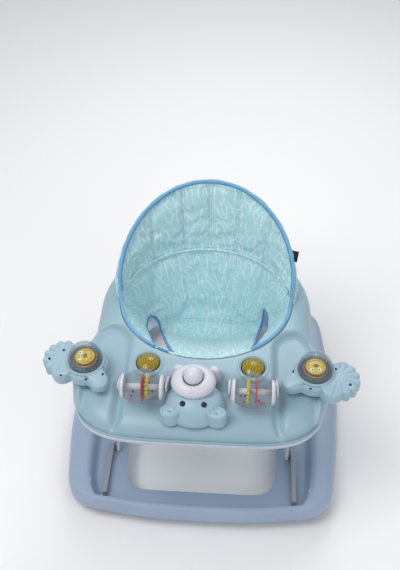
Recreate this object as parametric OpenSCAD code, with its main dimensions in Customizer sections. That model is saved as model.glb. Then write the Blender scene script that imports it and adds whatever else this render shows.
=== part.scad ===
// Baby walker: a fabric seat hung in a toy tray, a folding scissor frame and a wheeled base.
// +Z is up, the toy tray is towards -Y, the seat back towards +Y, and the floor is z = 0.

/* [Seat opening] */
// Half width of the opening that the seat hangs in
open_a = 190; // [170:1:200]
// Half depth of the opening
open_b = 165; // [145:1:175]
// How far the middle of the opening sits behind the middle of the base
open_y = 35; // [20:1:45]

/* [Tray] */
// Height of the tray's crown above the floor
tray_z = 400; // [370:1:440]
// Half width of the tray ring beside the seat
ring_a = 236; // [228:1:250]
// Depth of the tray ring behind the middle of the opening
ring_b = 228; // [215:1:240]
// How much wider each side grows towards the front corners
flare = 36; // [20:1:44]
// Length of the tray in front of the middle of the opening
front_len = 340; // [336:1:360]
// Fall of the crowned surface from its top to its outer edge
edge_fall = 38; // [20:1:45]
// Width over which the surface falls
fall_w = 52; // [35:1:70]
// Thickness of moulded plastic walls
wall = 3; // [2:0.5:4]
// Depth of the two scooped hollows in the front corners
scoop_d = 15; // [5:1:20]
// Half width of each scoop
scoop_r = 50; // [35:1:58]
// How much lower the toy panel lies than the ring
panel_drop = 16; // [8:1:20]

/* [Seat] */
// Height of the padded back above the tray's crown
back_h = 166; // [120:1:190]
// Thickness of the padded back
back_t = 13; // [8:1:18]
// How far the top of the back leans out behind the opening
back_lean = 46; // [20:1:60]
// Depth of the seat below the tray's crown
seat_d = 185; // [150:1:200]
// Thickness of the padded sling
sling_t = 5; // [3:1:8]

/* [Folding frame] */
// Height of the lower pivots above the floor
pivot_low_z = 60; // [58:1:66]
// Rise of the legs from the lower to the upper pivots when open
rise = 285; // [270:1:310]
// Rise that is left when the walker is folded flat
rise_flat = 100; // [95:1:130]
// Place of the rear pivots along the walker
pivot_y = 110; // [100:1:116]
// Reach of the legs from the rear pivots to the sliding ends when open
reach = 260; // [240:1:265]
// Radius of the leg tubes
tube_r = 7; // [6:0.5:8]
// Wall of the leg tubes
tube_wall = 1.5; // [1:0.1:2]
// Half distance between the inner legs
leg_a_x = 186; // [184:1:188]
// Gap between the inner and the outer leg
leg_gap = 2; // [1:0.5:3]
// Radius of the pivot and cross pins
pin_r = 4; // [3:0.5:4.5]

/* [Base] */
// Half width of the base
base_a = 323; // [318:1:330]
// Half length of the base
base_b = 316; // [312:1:330]
// Height of the base's crown
base_z = 85; // [80:1:92]
// Height of the base's skirt above the floor
skirt_z = 36; // [35:1:40]
// Height of the flat inner deck that carries the frame
deck_z = 50; // [48:1:51]
// Half width of the opening that the feet reach the floor through
foot_a = 177; // [165:1:178]
// Half length of that opening
foot_b = 250; // [230:1:252]

/* [Casters] */
// Radius of the wheels
wheel_r = 17; // [15:0.5:17]
// Width of a wheel
wheel_w = 14; // [10:1:16]
// Trail of a wheel behind its swivel stem
trail = 10; // [6:1:14]
// Radius of a swivel stem
stem_r = 5; // [4:0.5:6]

/* [Toys] */
// Distance of each button from the middle
button_x = 109; // [105:1:115]
// Place of the buttons along the walker
button_y = -148; // [-152:1:-146]
// Radius of a button
button_r = 23.5; // [18:0.5:25]
// Travel of a button
button_travel = 4; // [2:0.5:5]
// Distance of each rattle's middle from the middle
rattle_x = 110; // [106:1:114]
// Place of the rattles along the walker
rattle_y = -230; // [-236:1:-228]
// Radius of a rattle
rattle_r = 38; // [30:1:39]
// Length of a rattle
rattle_l = 88; // [70:1:90]
// Distance of each spinner ball from the middle
ball_x = 233; // [228:1:238]
// Place of the spinner balls along the walker
ball_y = -172; // [-176:1:-168]
// Radius of a spinner ball
ball_r = 35; // [30:1:37]
// Radius of a face disc
disc_r = 22; // [16:1:24]
// How far both toy arms are turned at rest
arm_turn = -13; // [-20:1:10]

/* [Hidden] */
$fn = 48;

// Clearances
run = 0.05;        // between a pin or stem and the bore that it turns in
slip = 0.3;        // between sliding or neighbouring faces of different bodies
seat_gap = 0.5;    // between the sling and the tray's lip

// Frame
leg_len = sqrt(rise * rise + reach * reach);
leg_tilt = atan2(rise, reach);
reach_flat = sqrt(leg_len * leg_len - rise_flat * rise_flat);
fold_travel = reach_flat - reach;
front_y = pivot_y - reach;
pivot_high_z = pivot_low_z + rise;
leg_b_x = leg_a_x + 2 * tube_r + leg_gap;
bar_bend = 22;             // radius of the inner tube's bends
shoe_l = 11;               // length of a slider pin outside its tube
track_h = 20;              // height of the rails that the pins run in
track_w = 10;              // width of a rail
track_end = 9;             // rail beyond the pin at each end of its travel
tube_end = 5;              // tube beyond its last pin
bracket_w = 24;            // length of a pivot bracket

// Tray
lip_h = 18;                // height of the opening's inner lip
skirt_h = 12;              // height of the tray's outer skirt
under_z = tray_z - 40;     // top of the lower tray shell
under_h = 28;              // height of the lower tray shell
edge_n = 5;                // squareness of the tray's front
rays = 96;                 // points around a lofted ring

// Base
deck_a = 245;              // half width of the deck
deck_rear = 264;           // rear half length of the deck
deck_front = 306;          // front half length of the deck
rim_w = 30;                // least width of the base's raised rim
lobe_h = 28;               // how far a corner wheel housing bulges
lobe_w = 10;               // its half angle
lobe_rear = 47;            // angle from +X to a rear housing
lobe_front = 44;           // angle from +X to a front housing
lobe_n = 3.5;              // squareness of the base
caster_r = 361;            // distance of a corner caster from the middle
CASTERS = [["front_left", -caster_r * cos(lobe_front), -caster_r * sin(lobe_front)],
           ["front_right", caster_r * cos(lobe_front), -caster_r * sin(lobe_front)],
           ["side_left", 32 - base_a, 12], ["side_right", base_a - 32, 12],
           ["rear_left", -caster_r * cos(lobe_rear), caster_r * sin(lobe_rear)],
           ["rear_right", caster_r * cos(lobe_rear), caster_r * sin(lobe_rear)]];
fork_t = 3;                // thickness of a fork's cheeks
fork_top = skirt_z + 7;    // top of a fork's crown
stem_top = fork_top + 30;  // top of a swivel stem
axle_r = 3;                // radius of a wheel's axle

// Toys
bear_x = -6;               // middle of the bear's head
bear_y = -243;             // its place along the walker
bear_a = 62;               // half width of the head
bear_b = 50;               // half length of the head
bear_z = tray_z + 34;      // top of the head
muzzle_x = -9;             // middle of the muzzle
muzzle_y = -219;           // its place along the walker
muzzle_a = 45;             // half width of the muzzle
muzzle_b = 40;             // half length of the muzzle
muzzle_z = tray_z + 56;    // top of the muzzle
nose_r = 19;               // radius of the nose
nose_travel = 3;           // travel of the nose
rattle_z = tray_z + 30;    // height of the rattles' axles
bracket_t = 4;             // thickness of a rattle bracket
rod_r = 3;                 // radius of a rattle's axle
ball_z = tray_z + 40;      // height of the spinner balls
arm_low = tray_z + 2;      // underside of a toy arm
arm_h = 30;                // height of a toy arm
post_r = 18;               // radius of the post under a toy arm
arm_pin_r = 6;             // radius of the pin that a toy arm turns on
button_z = tray_z + 2;     // top of a button's rim

// ---------------------------------------------------------------- outlines

function smooth(u) = let (c = min(1, max(0, u))) c * c * (3 - 2 * c);

// Distance from the middle to a rounded square's edge in a direction
function edge_r(phi, a, b, n) = pow(pow(abs(cos(phi)) / a, n) + pow(abs(sin(phi)) / b, n), -1 / n);

function open_r(phi) = edge_r(phi, open_a, open_b, 2);

// Tray outline: a half ellipse behind, a flared rounded square in front
function tray_r(phi) = sin(phi) >= 0
    ? edge_r(phi, ring_a, ring_b, 2)
    : edge_r(phi, ring_a + flare * smooth((-sin(phi) - 0.33) * 4), front_len, 2 + (edge_n - 2) * smooth(-sin(phi) * 3));

// Base outline: a rounded square with a bulge over each caster
function bulge(phi, mid) = let (d = (((phi - mid) % 360) + 540) % 360 - 180) exp(-pow(d / lobe_w, 2));
function base_r(phi) = edge_r(phi, base_a, base_b, lobe_n) + lobe_h * (
    bulge(phi, lobe_rear) + bulge(phi, 180 - lobe_rear) + bulge(phi, -lobe_front) + bulge(phi, 180 + lobe_front)
    + 0.15 * (bulge(phi, 2) + bulge(phi, 178)) - 0.3 * (bulge(phi, 29) + bulge(phi, 151)));

function deck_r(phi) = min(edge_r(phi, deck_a, sin(phi) > 0 ? deck_rear : deck_front, 7), base_r(phi) - rim_w);
function foot_r(phi) = edge_r(phi, foot_a, foot_b, 9);

function spot(r, phi, z, mid_y) = [r * cos(phi), mid_y + r * sin(phi), z];

// Height of the tray's surface at a point, and its distance from the outer edge
function scoop_gap(x, y) = let (dx = abs(x) - 197, dy = max(0, y + 92) + min(0, y + 260)) norm([dx, dy]);
function tray_h(x, y, d) = tray_z
    - edge_fall * (1 - sqrt(1 - pow(1 - min(1, d / fall_w), 2)))
    - scoop_d * smooth((scoop_r - scoop_gap(x, y)) / 18)
    - panel_drop * smooth((-y - 168) / 30) * (1 - smooth((abs(x) - 160) / 20));

// ---------------------------------------------------------------- lofts

// Closed solid through a list of loops with the same number of points
module loft(loops, ring = false) {
    n = len(loops);
    m = len(loops[0]);
    last = ring ? n - 1 : n - 2;
    sides = [for (i = [0:last], j = [0:m - 1])
        let (a = i * m + j, b = i * m + (j + 1) % m,
             c = ((i + 1) % n) * m + (j + 1) % m, d = ((i + 1) % n) * m + j)
        each [[a, c, b], [a, d, c]]];
    caps = ring ? [] : [[for (j = [0:m - 1]) j], [for (j = [m - 1:-1:0]) (n - 1) * m + j]];
    polyhedron(points = [for (l = loops) each l], faces = concat(sides, caps));
}

// Oval loop
function oval(cx, cy, a, b, z, n = 40) = [for (i = [0:n - 1]) let (t = i * 360 / n) [cx + a * cos(t), cy + b * sin(t), z]];

// Round tube of a given radius along points
function sweep(path, r, n = 8) = [for (i = [0:len(path) - 1])
    let (p = path[max(0, i - 1)], q = path[min(len(path) - 1, i + 1)], t = (q - p) / norm(q - p),
         u0 = cross([0, 0, 1], t), u = u0 / norm(u0), v = cross(t, u))
    [for (k = [0:n - 1]) path[i] + r * (u * cos(k * 360 / n) + v * sin(k * 360 / n))]];

module both() {
    children();
    mirror([1, 0, 0]) children();
}

module rod_x(x0, x1, y, z, r) {
    translate([min(x0, x1), y, z]) rotate([0, 90, 0]) cylinder(h = abs(x1 - x0), r = r);
}

module box(low, high) {
    translate(low) cube(high - low);
}

// ---------------------------------------------------------------- base

module base_shell() {
    function crown(s) = skirt_z + 14 + (base_z - skirt_z - 14) * sqrt(max(0, 1 - pow(2 * s - 1, 4)));
    function section(phi) =
        let (f = foot_r(phi), g = deck_r(phi), o = base_r(phi), w = o - g - 16)
        concat(
            [spot(f, phi, deck_z - wall, 0), spot(f, phi, deck_z, 0), spot(g, phi, deck_z, 0)],
            [for (k = [0:6]) let (s = k / 6) spot(g + 10 + w * s + 6 * s, phi, max(deck_z + 10, crown(s * 0.96 + 0.02)), 0)],
            [spot(o, phi, skirt_z + 12, 0), spot(o, phi, skirt_z, 0),
             spot(o - wall, phi, skirt_z, 0), spot(o - wall, phi, skirt_z + 12, 0)],
            [for (k = [6:-1:0]) let (s = k / 6)
                spot(g + 13 + (w - 2) * s + 2 * s, phi, max(deck_z + 7, crown(s * 0.96 + 0.02) - wall), 0)],
            [spot(g + wall, phi, deck_z - wall, 0)]);
    color("lightsteelblue") loft([for (i = [0:rays - 1]) section(i * 360 / rays)], true);
}

module caster_sockets() {
    color("lightsteelblue") for (c = CASTERS) translate([c[1], c[2], fork_top + slip]) difference() {
        cylinder(h = base_z - wall - fork_top - slip, r = stem_r + 6);
        translate([0, 0, -1]) cylinder(h = stem_top - fork_top + 2, r = stem_r + run);
    }
}

// One rail on the deck takes the outer leg's pin, and a bracket holds the inner leg's pivot
module base_rails() {
    rail_x = leg_b_x + tube_r + leg_gap;
    ear_x = leg_a_x + tube_r + leg_gap;
    color("silver") both() {
        difference() {
            box([rail_x, front_y - fold_travel - track_end, deck_z],
                [rail_x + track_w, front_y + track_end, pivot_low_z + track_h / 2]);
            box([rail_x - 1, front_y - fold_travel - pin_r - slip, pivot_low_z - pin_r - slip],
                [rail_x + track_w - 1.5, front_y + pin_r + slip, pivot_low_z + pin_r + slip]);
        }
        difference() {
            box([ear_x, pivot_y - bracket_w / 2, deck_z], [ear_x + track_w, pivot_y + bracket_w / 2, pivot_low_z + track_h / 2]);
            rod_x(ear_x - 1, ear_x + track_w + 1, pivot_y, pivot_low_z, pin_r);
        }
    }
}

module base_pivot_pins() {
    color("gray") both() rod_x(leg_a_x - tube_r, leg_a_x + tube_r + leg_gap + track_w, pivot_y, pivot_low_z, pin_r);
}

// Rubber stops that meet the floor when a wheel drops over a step
module brake_pads() {
    color("dimgray") both() for (y = [-190, 20, 190])
        box([foot_a + 28, y - 22, 5], [foot_a + 46, y + 22, deck_z - wall]);
}

module caster_at(name) {
    for (c = CASTERS) if (c[0] == name) translate([c[1], c[2], 0]) children();
}

module fork(name) {
    color("white") caster_at(name) {
        translate([0, 0, fork_top - 0.01]) cylinder(h = stem_top - fork_top, r = stem_r);
        translate([0, 0, 2 * wheel_r + 2]) cylinder(h = fork_top - 2 * wheel_r - 2, r = 13);
        for (side = [-1, 1]) translate([side * (wheel_w / 2 + 1 + fork_t / 2), 0, 0])
            rotate([90, 0, 90]) translate([0, 0, -fork_t / 2]) linear_extrude(fork_t) hull() {
                translate([trail, wheel_r]) circle(r = axle_r + 3.5);
                translate([-7, fork_top - 3]) square([14, 3]);
            }
        translate([-wheel_w / 2 - 1 - fork_t, -9, fork_top - 4]) cube([wheel_w + 2 + 2 * fork_t, 18, 4]);
        rod_x(-wheel_w / 2 - 1 - fork_t, wheel_w / 2 + 1 + fork_t, trail, wheel_r, axle_r);
    }
}

module wheel(name) {
    color("slategray") caster_at(name) translate([-wheel_w / 2, trail, wheel_r]) rotate([0, 90, 0]) rotate_extrude()
        polygon([[axle_r + run, 0], [7, 0], [7, 1.5], [wheel_r - 5, 1.5], [wheel_r - 4, 0], [wheel_r - 1.5, 0],
                 [wheel_r, 1.5], [wheel_r, wheel_w - 1.5], [wheel_r - 1.5, wheel_w], [wheel_r - 4, wheel_w],
                 [wheel_r - 5, wheel_w - 1.5], [7, wheel_w - 1.5], [7, wheel_w], [axle_r + run, wheel_w]]);
}

// ---------------------------------------------------------------- folding frame

// Inner legs and the bar that joins them under the front of the tray, bent from one tube
module leg_inner_tube() {
    run_l = leg_len - bar_bend;
    module bent(r, beyond) {
        both() translate([leg_a_x, 0, 0]) {
            translate([0, beyond, 0]) rotate([90, 0, 0]) cylinder(h = run_l + beyond, r = r);
            translate([-bar_bend, -run_l, 0]) rotate([0, 0, -90]) rotate_extrude(angle = 90) translate([bar_bend, 0]) circle(r = r);
        }
        rod_x(bar_bend - leg_a_x, leg_a_x - bar_bend, -leg_len, 0, r);
    }
    color("gainsboro") translate([0, pivot_y, pivot_low_z]) rotate([-leg_tilt, 0, 0]) difference() {
        bent(tube_r, tube_end);
        bent(tube_r - tube_wall, tube_end - tube_wall);
        both() {
            rod_x(leg_a_x - tube_r - 1, leg_a_x + tube_r + 1, 0, 0, pin_r + run);
            rod_x(leg_a_x - tube_r - 1, leg_a_x + tube_r + 1, -leg_len / 2, 0, pin_r);
        }
    }
}

module cross_pins() {
    color("gray") translate([0, pivot_y - reach / 2, pivot_low_z + rise / 2])
        both() rod_x(leg_a_x - tube_r, leg_b_x + tube_r + 1, 0, 0, pin_r);
}

// Plugs in the ends of the bar, with pins that run in the tray's rails
module leg_inner_sliders() {
    color("gray") both() {
        rod_x(leg_a_x - bar_bend - 12, leg_a_x - bar_bend + 6, front_y, pivot_high_z, tube_r - tube_wall);
        rod_x(leg_a_x - bar_bend + 6, leg_a_x + tube_r + shoe_l - 1, front_y, pivot_high_z, pin_r);
    }
}

module leg_outer_tubes() {
    color("gainsboro") both() translate([leg_b_x, pivot_y, pivot_high_z]) rotate([leg_tilt, 0, 0]) difference() {
        translate([0, tube_end, 0]) rotate([90, 0, 0]) cylinder(h = leg_len + 2 * tube_end, r = tube_r);
        translate([0, tube_end - tube_wall, 0]) rotate([90, 0, 0])
            cylinder(h = leg_len + 2 * (tube_end - tube_wall), r = tube_r - tube_wall);
        rod_x(-tube_r - 1, tube_r + 1, 0, 0, pin_r + run);
        rod_x(-tube_r - 1, tube_r + 1, -leg_len / 2, 0, pin_r + run);
        rod_x(-tube_r - 1, tube_r + 1, -leg_len, 0, pin_r);
    }
}

// Pins that run in the base's rails
module leg_outer_sliders() {
    color("gray") both() rod_x(leg_b_x - tube_r, leg_b_x + tube_r + shoe_l - 1, front_y, pivot_low_z, pin_r);
}

// ---------------------------------------------------------------- tray

module tray_top() {
    levels = 10;
    function section(phi) =
        let (a = open_r(phi), b = tray_r(phi),
             top = [for (k = [0:levels]) let (r = a + 4 + (b - a - 4) * pow(k / levels, 0.8), p = spot(r, phi, 0, open_y))
                 [p[0], p[1], tray_h(p[0], p[1], b - r)]])
        concat(
            [spot(a, phi, tray_z - lip_h, open_y), spot(a, phi, tray_z - 5, open_y)], top,
            [spot(b + 1, phi, tray_z - edge_fall - skirt_h, open_y),
             spot(b - wall, phi, tray_z - edge_fall - skirt_h, open_y),
             spot(b - wall - 0.5, phi, tray_z - edge_fall - wall, open_y)],
            [for (k = [levels - 1:-1:1]) top[k] - [0, 0, wall]],
            [spot(a + wall, phi, tray_z - 8, open_y), spot(a + wall, phi, tray_z - lip_h, open_y)]);
    color("lightblue") difference() {
        loft([for (i = [0:rays - 1]) section(i * 360 / rays)], true);
        both() translate([button_x, button_y, tray_z - 30]) cylinder(h = 60, r = button_r + 4);
    }
}

module tray_under() {
    low = under_z - under_h;
    function section(phi) =
        let (a = open_r(phi) + 5, b = tray_r(phi))
        [spot(a, phi, under_z - wall, open_y), spot(a, phi, under_z, open_y), spot(b - 7, phi, under_z, open_y),
         spot(b - 7, phi, tray_z - edge_fall - skirt_h - slip, open_y),
         spot(b + 2, phi, tray_z - edge_fall - skirt_h - slip, open_y),
         spot(b - 4, phi, low, open_y), spot(b - 8, phi, low, open_y), spot(b - 10, phi, under_z - wall, open_y)];
    color("white") difference() {
        loft([for (i = [0:rays - 1]) section(i * 360 / rays)], true);
        both() translate([button_x, button_y, under_z - 10]) cylinder(h = 20, r = button_r + 4);
    }
}

module tray_rails() {
    ear_x = leg_b_x - tube_r - leg_gap;
    rail_x = leg_a_x + tube_r + leg_gap;
    top = under_z - wall;
    color("silver") both() {
        difference() {
            box([rail_x, front_y - fold_travel - track_end, pivot_high_z - track_h / 2], [rail_x + track_w, front_y + track_end, top]);
            box([rail_x - 1, front_y - fold_travel - pin_r - slip, pivot_high_z - pin_r - slip],
                [rail_x + track_w - 1, front_y + pin_r + slip, pivot_high_z + pin_r + slip]);
        }
        difference() {
            box([ear_x - track_w, pivot_y - bracket_w / 2, pivot_high_z - track_h / 2], [ear_x, pivot_y + bracket_w / 2, top]);
            rod_x(ear_x - track_w - 1, ear_x + 1, pivot_y, pivot_high_z, pin_r);
        }
    }
}

module tray_pivot_pins() {
    color("gray") both() rod_x(leg_b_x - tube_r - leg_gap - track_w, leg_b_x + tube_r, pivot_y, pivot_high_z, pin_r);
}

rack_x = 30;   // distance of the height rack's plates from the middle
rack_t = 3;    // their thickness

// Two notched plates that hold the front bar of the frame at one of three heights
module height_rack() {
    slot = tube_r + slip;
    far = front_y - fold_travel;
    color("silver") both() translate([rack_x, 0, 0]) difference() {
        box([0, far - tube_r - 4, pivot_high_z - tube_r - 5], [rack_t, front_y + tube_r + 5, under_z - wall]);
        box([-1, far - slot, pivot_high_z - slot], [rack_t + 1, front_y + slot, pivot_high_z + slot]);
        for (k = [0:2]) translate([-1, front_y - k * 22, pivot_high_z + 1.5]) rotate([0, 90, 0]) cylinder(h = rack_t + 2, r = slot);
    }
}

// Pull under the front of the tray that frees the bar
module release_handle() {
    far = front_y - fold_travel - tube_r - 5;
    color("white") {
        box([-24, far, pivot_high_z + tube_r + 1], [24, front_y + 10, under_z - wall - slip]);
        box([-45, far - 9, pivot_high_z - 20], [45, far, under_z - wall - slip]);
    }
}

// ---------------------------------------------------------------- seat

back_low = -7;   // angle at which the padded back meets the tray

function back_rise(t) = back_h * pow(max(0, sin((t - back_low) * 180 / (180 - 2 * back_low))), 0.85);

// Point on the padded back: part 0 at the tray and 1 at the top edge, out is measured away from the seat
function back_point(t, part, out) =
    let (h = back_rise(t) * part, k = h / back_h, side = 0.4 * back_lean)
    [(open_a - 1 + side * k + out) * cos(t), open_y + (open_b - 1 + back_lean * k + out) * sin(t), tray_z + 1 + h];

module seat_back() {
    steps = 40;
    first = back_low + 5;
    function section(t) = concat(
        [back_point(t, 0, -back_t * 0.4)],
        [for (p = [0.25, 0.5, 0.75]) back_point(t, p, -back_t * 0.5)],
        [back_point(t, 0.97, -back_t * 0.3), back_point(t, 1, 0), back_point(t, 0.97, back_t * 0.3)],
        [for (p = [0.75, 0.5, 0.25]) back_point(t, p, back_t * 0.5)],
        [back_point(t, 0, back_t * 0.4)]);
    color("paleturquoise") loft([for (i = [0:steps]) section(first + i * (180 - 2 * first) / steps)]);
}

// Steel wire in the edge of the back
module back_wire() {
    steps = 36;
    first = back_low + 14;
    color("silver") loft(sweep([for (i = [0:steps]) back_point(first + i * (180 - 2 * first) / steps, 0.93, 0)], 2, 8));
}

// Sling: deep behind, rising to a panel between the two leg holes in front
module seat_bucket() {
    seat_z = tray_z - seat_d;
    rim_z = tray_z - 3;
    levels = 9;
    function loop(v, t) =
        let (rear = 125 + (open_y + open_b - seat_gap - 125) * pow(v, 0.75),
             front = 62 + (open_y - open_b + seat_gap - 62) * v,
             a = 112 + (open_a - seat_gap - 112) * pow(v, 0.55))
        oval(0, (rear + front) / 2, a - t, (rear - front) / 2 - t, seat_z + (rim_z - seat_z) * v + (v < 1 ? t : 0), 48);
    color("paleturquoise") difference() {
        loft(concat([for (k = [0:levels]) loop(k / levels, 0)], [for (k = [levels:-1:0]) loop(k / levels, sling_t)]));
        both() rotate([90, 0, 0]) translate([0, 0, -70]) linear_extrude(300) hull() {
            translate([-122, tray_z - 20]) circle(r = 12);
            translate([-80, tray_z - 20]) circle(r = 12);
            translate([-112, tray_z - seat_d + 42]) circle(r = 12);
        }
    }
}

module seat_clips() {
    color("white") for (phi = [35, 75, 105, 145, 195, 235, 305, 345])
        translate(spot(open_r(phi) + 8, phi, under_z - wall - 8, open_y)) rotate([0, 0, phi]) difference() {
            translate([-3, -8, 0]) cube([9, 16, 8]);
            translate([-4, -5, 2]) cube([7, 10, 3]);
        }
}

module seat_tag() {
    color("black") translate([open_a - 6, open_y + 76, tray_z + 54]) cube([16, 1.5, 36]);
}

// ---------------------------------------------------------------- bear

module dome(cx, cy, a, b, z0, z1, n = 40, steps = 8) {
    loft([for (k = [0:steps]) let (u = k / steps * 84, s = cos(u)) oval(cx, cy, a * s, b * s, z0 + (z1 - z0) * sin(u) / sin(84), n)]);
}

module bear_head() {
    color("lightblue") difference() {
        union() {
            dome(bear_x, bear_y, bear_a, bear_b, tray_z - panel_drop + 1, bear_z);
            for (side = [-1, 1]) dome(bear_x + side * 46, bear_y - 32, 20, 15, tray_z - panel_drop + 1, tray_z + 22, 24, 5);
        }
        translate([muzzle_x, muzzle_y, tray_z + 20]) cylinder(h = 60, r = nose_r + 0.6);
    }
}

module bear_muzzle() {
    low = muzzle_z - 28;
    color("white") difference() {
        loft([oval(muzzle_x, muzzle_y, muzzle_a - 8, muzzle_b - 8, low), oval(muzzle_x, muzzle_y, muzzle_a, muzzle_b, low + 10),
              oval(muzzle_x, muzzle_y, muzzle_a - 2, muzzle_b - 2, low + 18), oval(muzzle_x, muzzle_y, muzzle_a - 8, muzzle_b - 8, low + 25),
              oval(muzzle_x, muzzle_y, muzzle_a - 18, muzzle_b - 15, muzzle_z)]);
        translate([muzzle_x, muzzle_y, low - 1]) cylinder(h = 60, r = nose_r + 0.6);
    }
}

module bear_nose() {
    color("white") translate([muzzle_x, muzzle_y, muzzle_z + 3]) {
        sphere(r = nose_r);
        translate([0, 0, -nose_r - 16]) cylinder(h = 20, r = 6);
    }
}

module bear_paws() {
    color("white") for (side = [-1, 1]) dome(bear_x + side * 36, -176, 17, 13, tray_z - panel_drop + 4, tray_z + 30, 24, 6);
}

// ---------------------------------------------------------------- rattles

module rattle_brackets() {
    ends = [rattle_x - rattle_l / 2 - 1.5 - bracket_t, rattle_x + rattle_l / 2 + 1.5];
    color("white") both() for (x = ends) translate([x, 0, 0]) rotate([90, 0, 90]) linear_extrude(bracket_t) difference() {
        union() {
            hull() {
                translate([rattle_y, rattle_z]) circle(r = 8);
                translate([-194, rattle_z - 12]) circle(r = 12);
            }
            translate([-206, tray_z - panel_drop + 1]) square([24, rattle_z - 12 - tray_z + panel_drop]);
        }
        translate([rattle_y, rattle_z]) circle(r = rod_r);
    }
}

module rattle_axles() {
    reach_x = rattle_l / 2 + 1.5 + bracket_t;
    color("silver") both() rod_x(rattle_x - reach_x, rattle_x + reach_x, rattle_y, rattle_z, rod_r);
}

module rattle_at(side) {
    translate([side * rattle_x, rattle_y, rattle_z]) rotate([0, 90 * side, 0]) children();
}

// Clear barrel with a raised seam around its middle
module rattle_shell(side) {
    half = rattle_l / 2 - 8;
    outer = [[rattle_r * 0.72, -half], [rattle_r * 0.9, -half * 0.6], [rattle_r - 2.5, -3], [rattle_r, -2.5], [rattle_r, 2.5],
             [rattle_r - 2.5, 3], [rattle_r * 0.9, half * 0.6], [rattle_r * 0.72, half]];
    inner = [[rattle_r * 0.72 - 2, half], [rattle_r * 0.9 - 2, half * 0.6], [rattle_r - 4.5, 0],
             [rattle_r * 0.9 - 2, -half * 0.6], [rattle_r * 0.72 - 2, -half]];
    color("aliceblue", 0.4) rattle_at(side) rotate_extrude() polygon(concat(outer, inner));
}

module rattle_caps(side) {
    half = rattle_l / 2;
    color("white") rattle_at(side) for (s = [-1, 1]) mirror([0, 0, s < 0 ? 1 : 0]) rotate_extrude()
        polygon([[rod_r + run, half - 8], [rattle_r * 0.72 + 2, half - 8], [rattle_r * 0.72 + 2, half - 4],
                 [rattle_r * 0.55, half], [rod_r + run, half]]);
}

// Two discs on a sleeve that shake the beads
module rattle_discs(side) {
    color("crimson") rattle_at(side) rotate_extrude()
        polygon([[rod_r + run, -rattle_l / 2 + 8], [6, -rattle_l / 2 + 8], [6, -5], [rattle_r - 8, -5], [rattle_r - 8, -2],
                 [6, -2], [6, 4], [rattle_r - 8, 4], [rattle_r - 8, 7], [6, 7], [6, rattle_l / 2 - 8], [rod_r + run, rattle_l / 2 - 8]]);
}

// ---------------------------------------------------------------- toy arms

module arm_at(side) {
    translate([side * ball_x, ball_y, 0]) rotate([0, 0, arm_turn]) mirror([side > 0 ? 1 : 0, 0, 0]) children();
}

module arm_posts() {
    color("lightblue") for (side = [-1, 1]) translate([side * ball_x, ball_y, 0]) {
        translate([0, 0, tray_z - 22]) cylinder(h = arm_low - slip - tray_z + 22, r = post_r);
        translate([0, 0, arm_low - slip - 0.01]) cylinder(h = slip + 2.4, r = arm_pin_r);
    }
}

// Collar around the ball, with a scalloped crown outboard and a rounded tail towards the front
module arm_shell(side) {
    crown_x = -49;
    crown_r = 36;
    color("lightblue") arm_at(side) difference() {
        union() {
            translate([0, 0, arm_low]) cylinder(h = arm_h, r = ball_r + 9);
            translate([0, 0, arm_low]) linear_extrude(arm_h) {
                translate([crown_x, 0]) circle(r = crown_r);
                for (k = [-3:3]) translate([crown_x, 0]) rotate(180 + k * 27) translate([crown_r - 1, 0]) circle(r = 8.5);
                translate([-40, -30]) circle(r = 22);
            }
            translate([0, 0, arm_low]) linear_extrude(arm_h - 6) hull() {
                circle(r = 26);
                translate([40, -31]) circle(r = 19);
            }
        }
        translate([0, 0, ball_z]) sphere(r = ball_r + run, $fn = 64);
        translate([0, 0, ball_z - 4]) cylinder(h = 40, r = ball_r + run, $fn = 64);
        translate([0, 0, arm_low - 1]) cylinder(h = 20, r = arm_pin_r + run);
    }
}

module arm_ball(side) {
    color("aliceblue", 0.4) translate([side * ball_x, ball_y, ball_z]) difference() {
        sphere(r = ball_r, $fn = 64);
        sphere(r = ball_r - 2, $fn = 64);
    }
}

// Turning bowl that carries the face
module face_base(side) {
    low = -ball_r + 2.6;
    color("orange") translate([side * ball_x, ball_y, ball_z]) rotate_extrude()
        polygon([[0, low], [3, low], [3, -14], [disc_r - 4, -11], [disc_r + 4, 0], [disc_r + 4, 2], [0, 2]]);
}

module face_disc(side) {
    color("gold") translate([side * ball_x, ball_y, ball_z + 2]) rotate_extrude()
        polygon([[0, 0], [disc_r, 0], [disc_r, 2], [disc_r * 0.8, 4], [disc_r * 0.4, 5], [0, 5.4]]);
}

// ---------------------------------------------------------------- buttons

module button_cups() {
    cup_r = button_r + 4 - 0.1;
    color("lightblue") both() translate([button_x, button_y, button_z - 34]) rotate_extrude()
        polygon([[0, 0], [cup_r, 0], [cup_r, 33], [cup_r - 2, 33], [cup_r - 2, 12], [cup_r - 3, 2], [4, 2], [4, 14], [0, 14]]);
}

module button(side) {
    dome_h = 9;
    color("olive") translate([side * button_x, button_y, button_z]) rotate_extrude() {
        intersection() {
            translate([0, dome_h - (button_r * button_r + dome_h * dome_h) / (2 * dome_h)])
                circle(r = (button_r * button_r + dome_h * dome_h) / (2 * dome_h), $fn = 96);
            square([button_r, dome_h]);
        }
        translate([0, -3]) square([button_r, 3.01]);
        difference() {
            translate([0, -14]) square([8, 12]);
            translate([-1, -15]) square([6, 11]);
        }
    }
}

module button_spring(side) {
    turns = 4;
    low = button_z - 31.5;
    high = button_z - 15;
    color("silver") translate([side * button_x, button_y, 0])
        loft(sweep([for (i = [0:turns * 12]) [6 * cos(i * 30), 6 * sin(i * 30), low + (high - low) * i / (turns * 12)]], 0.6, 6));
}

// ---------------------------------------------------------------- nodes

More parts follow.
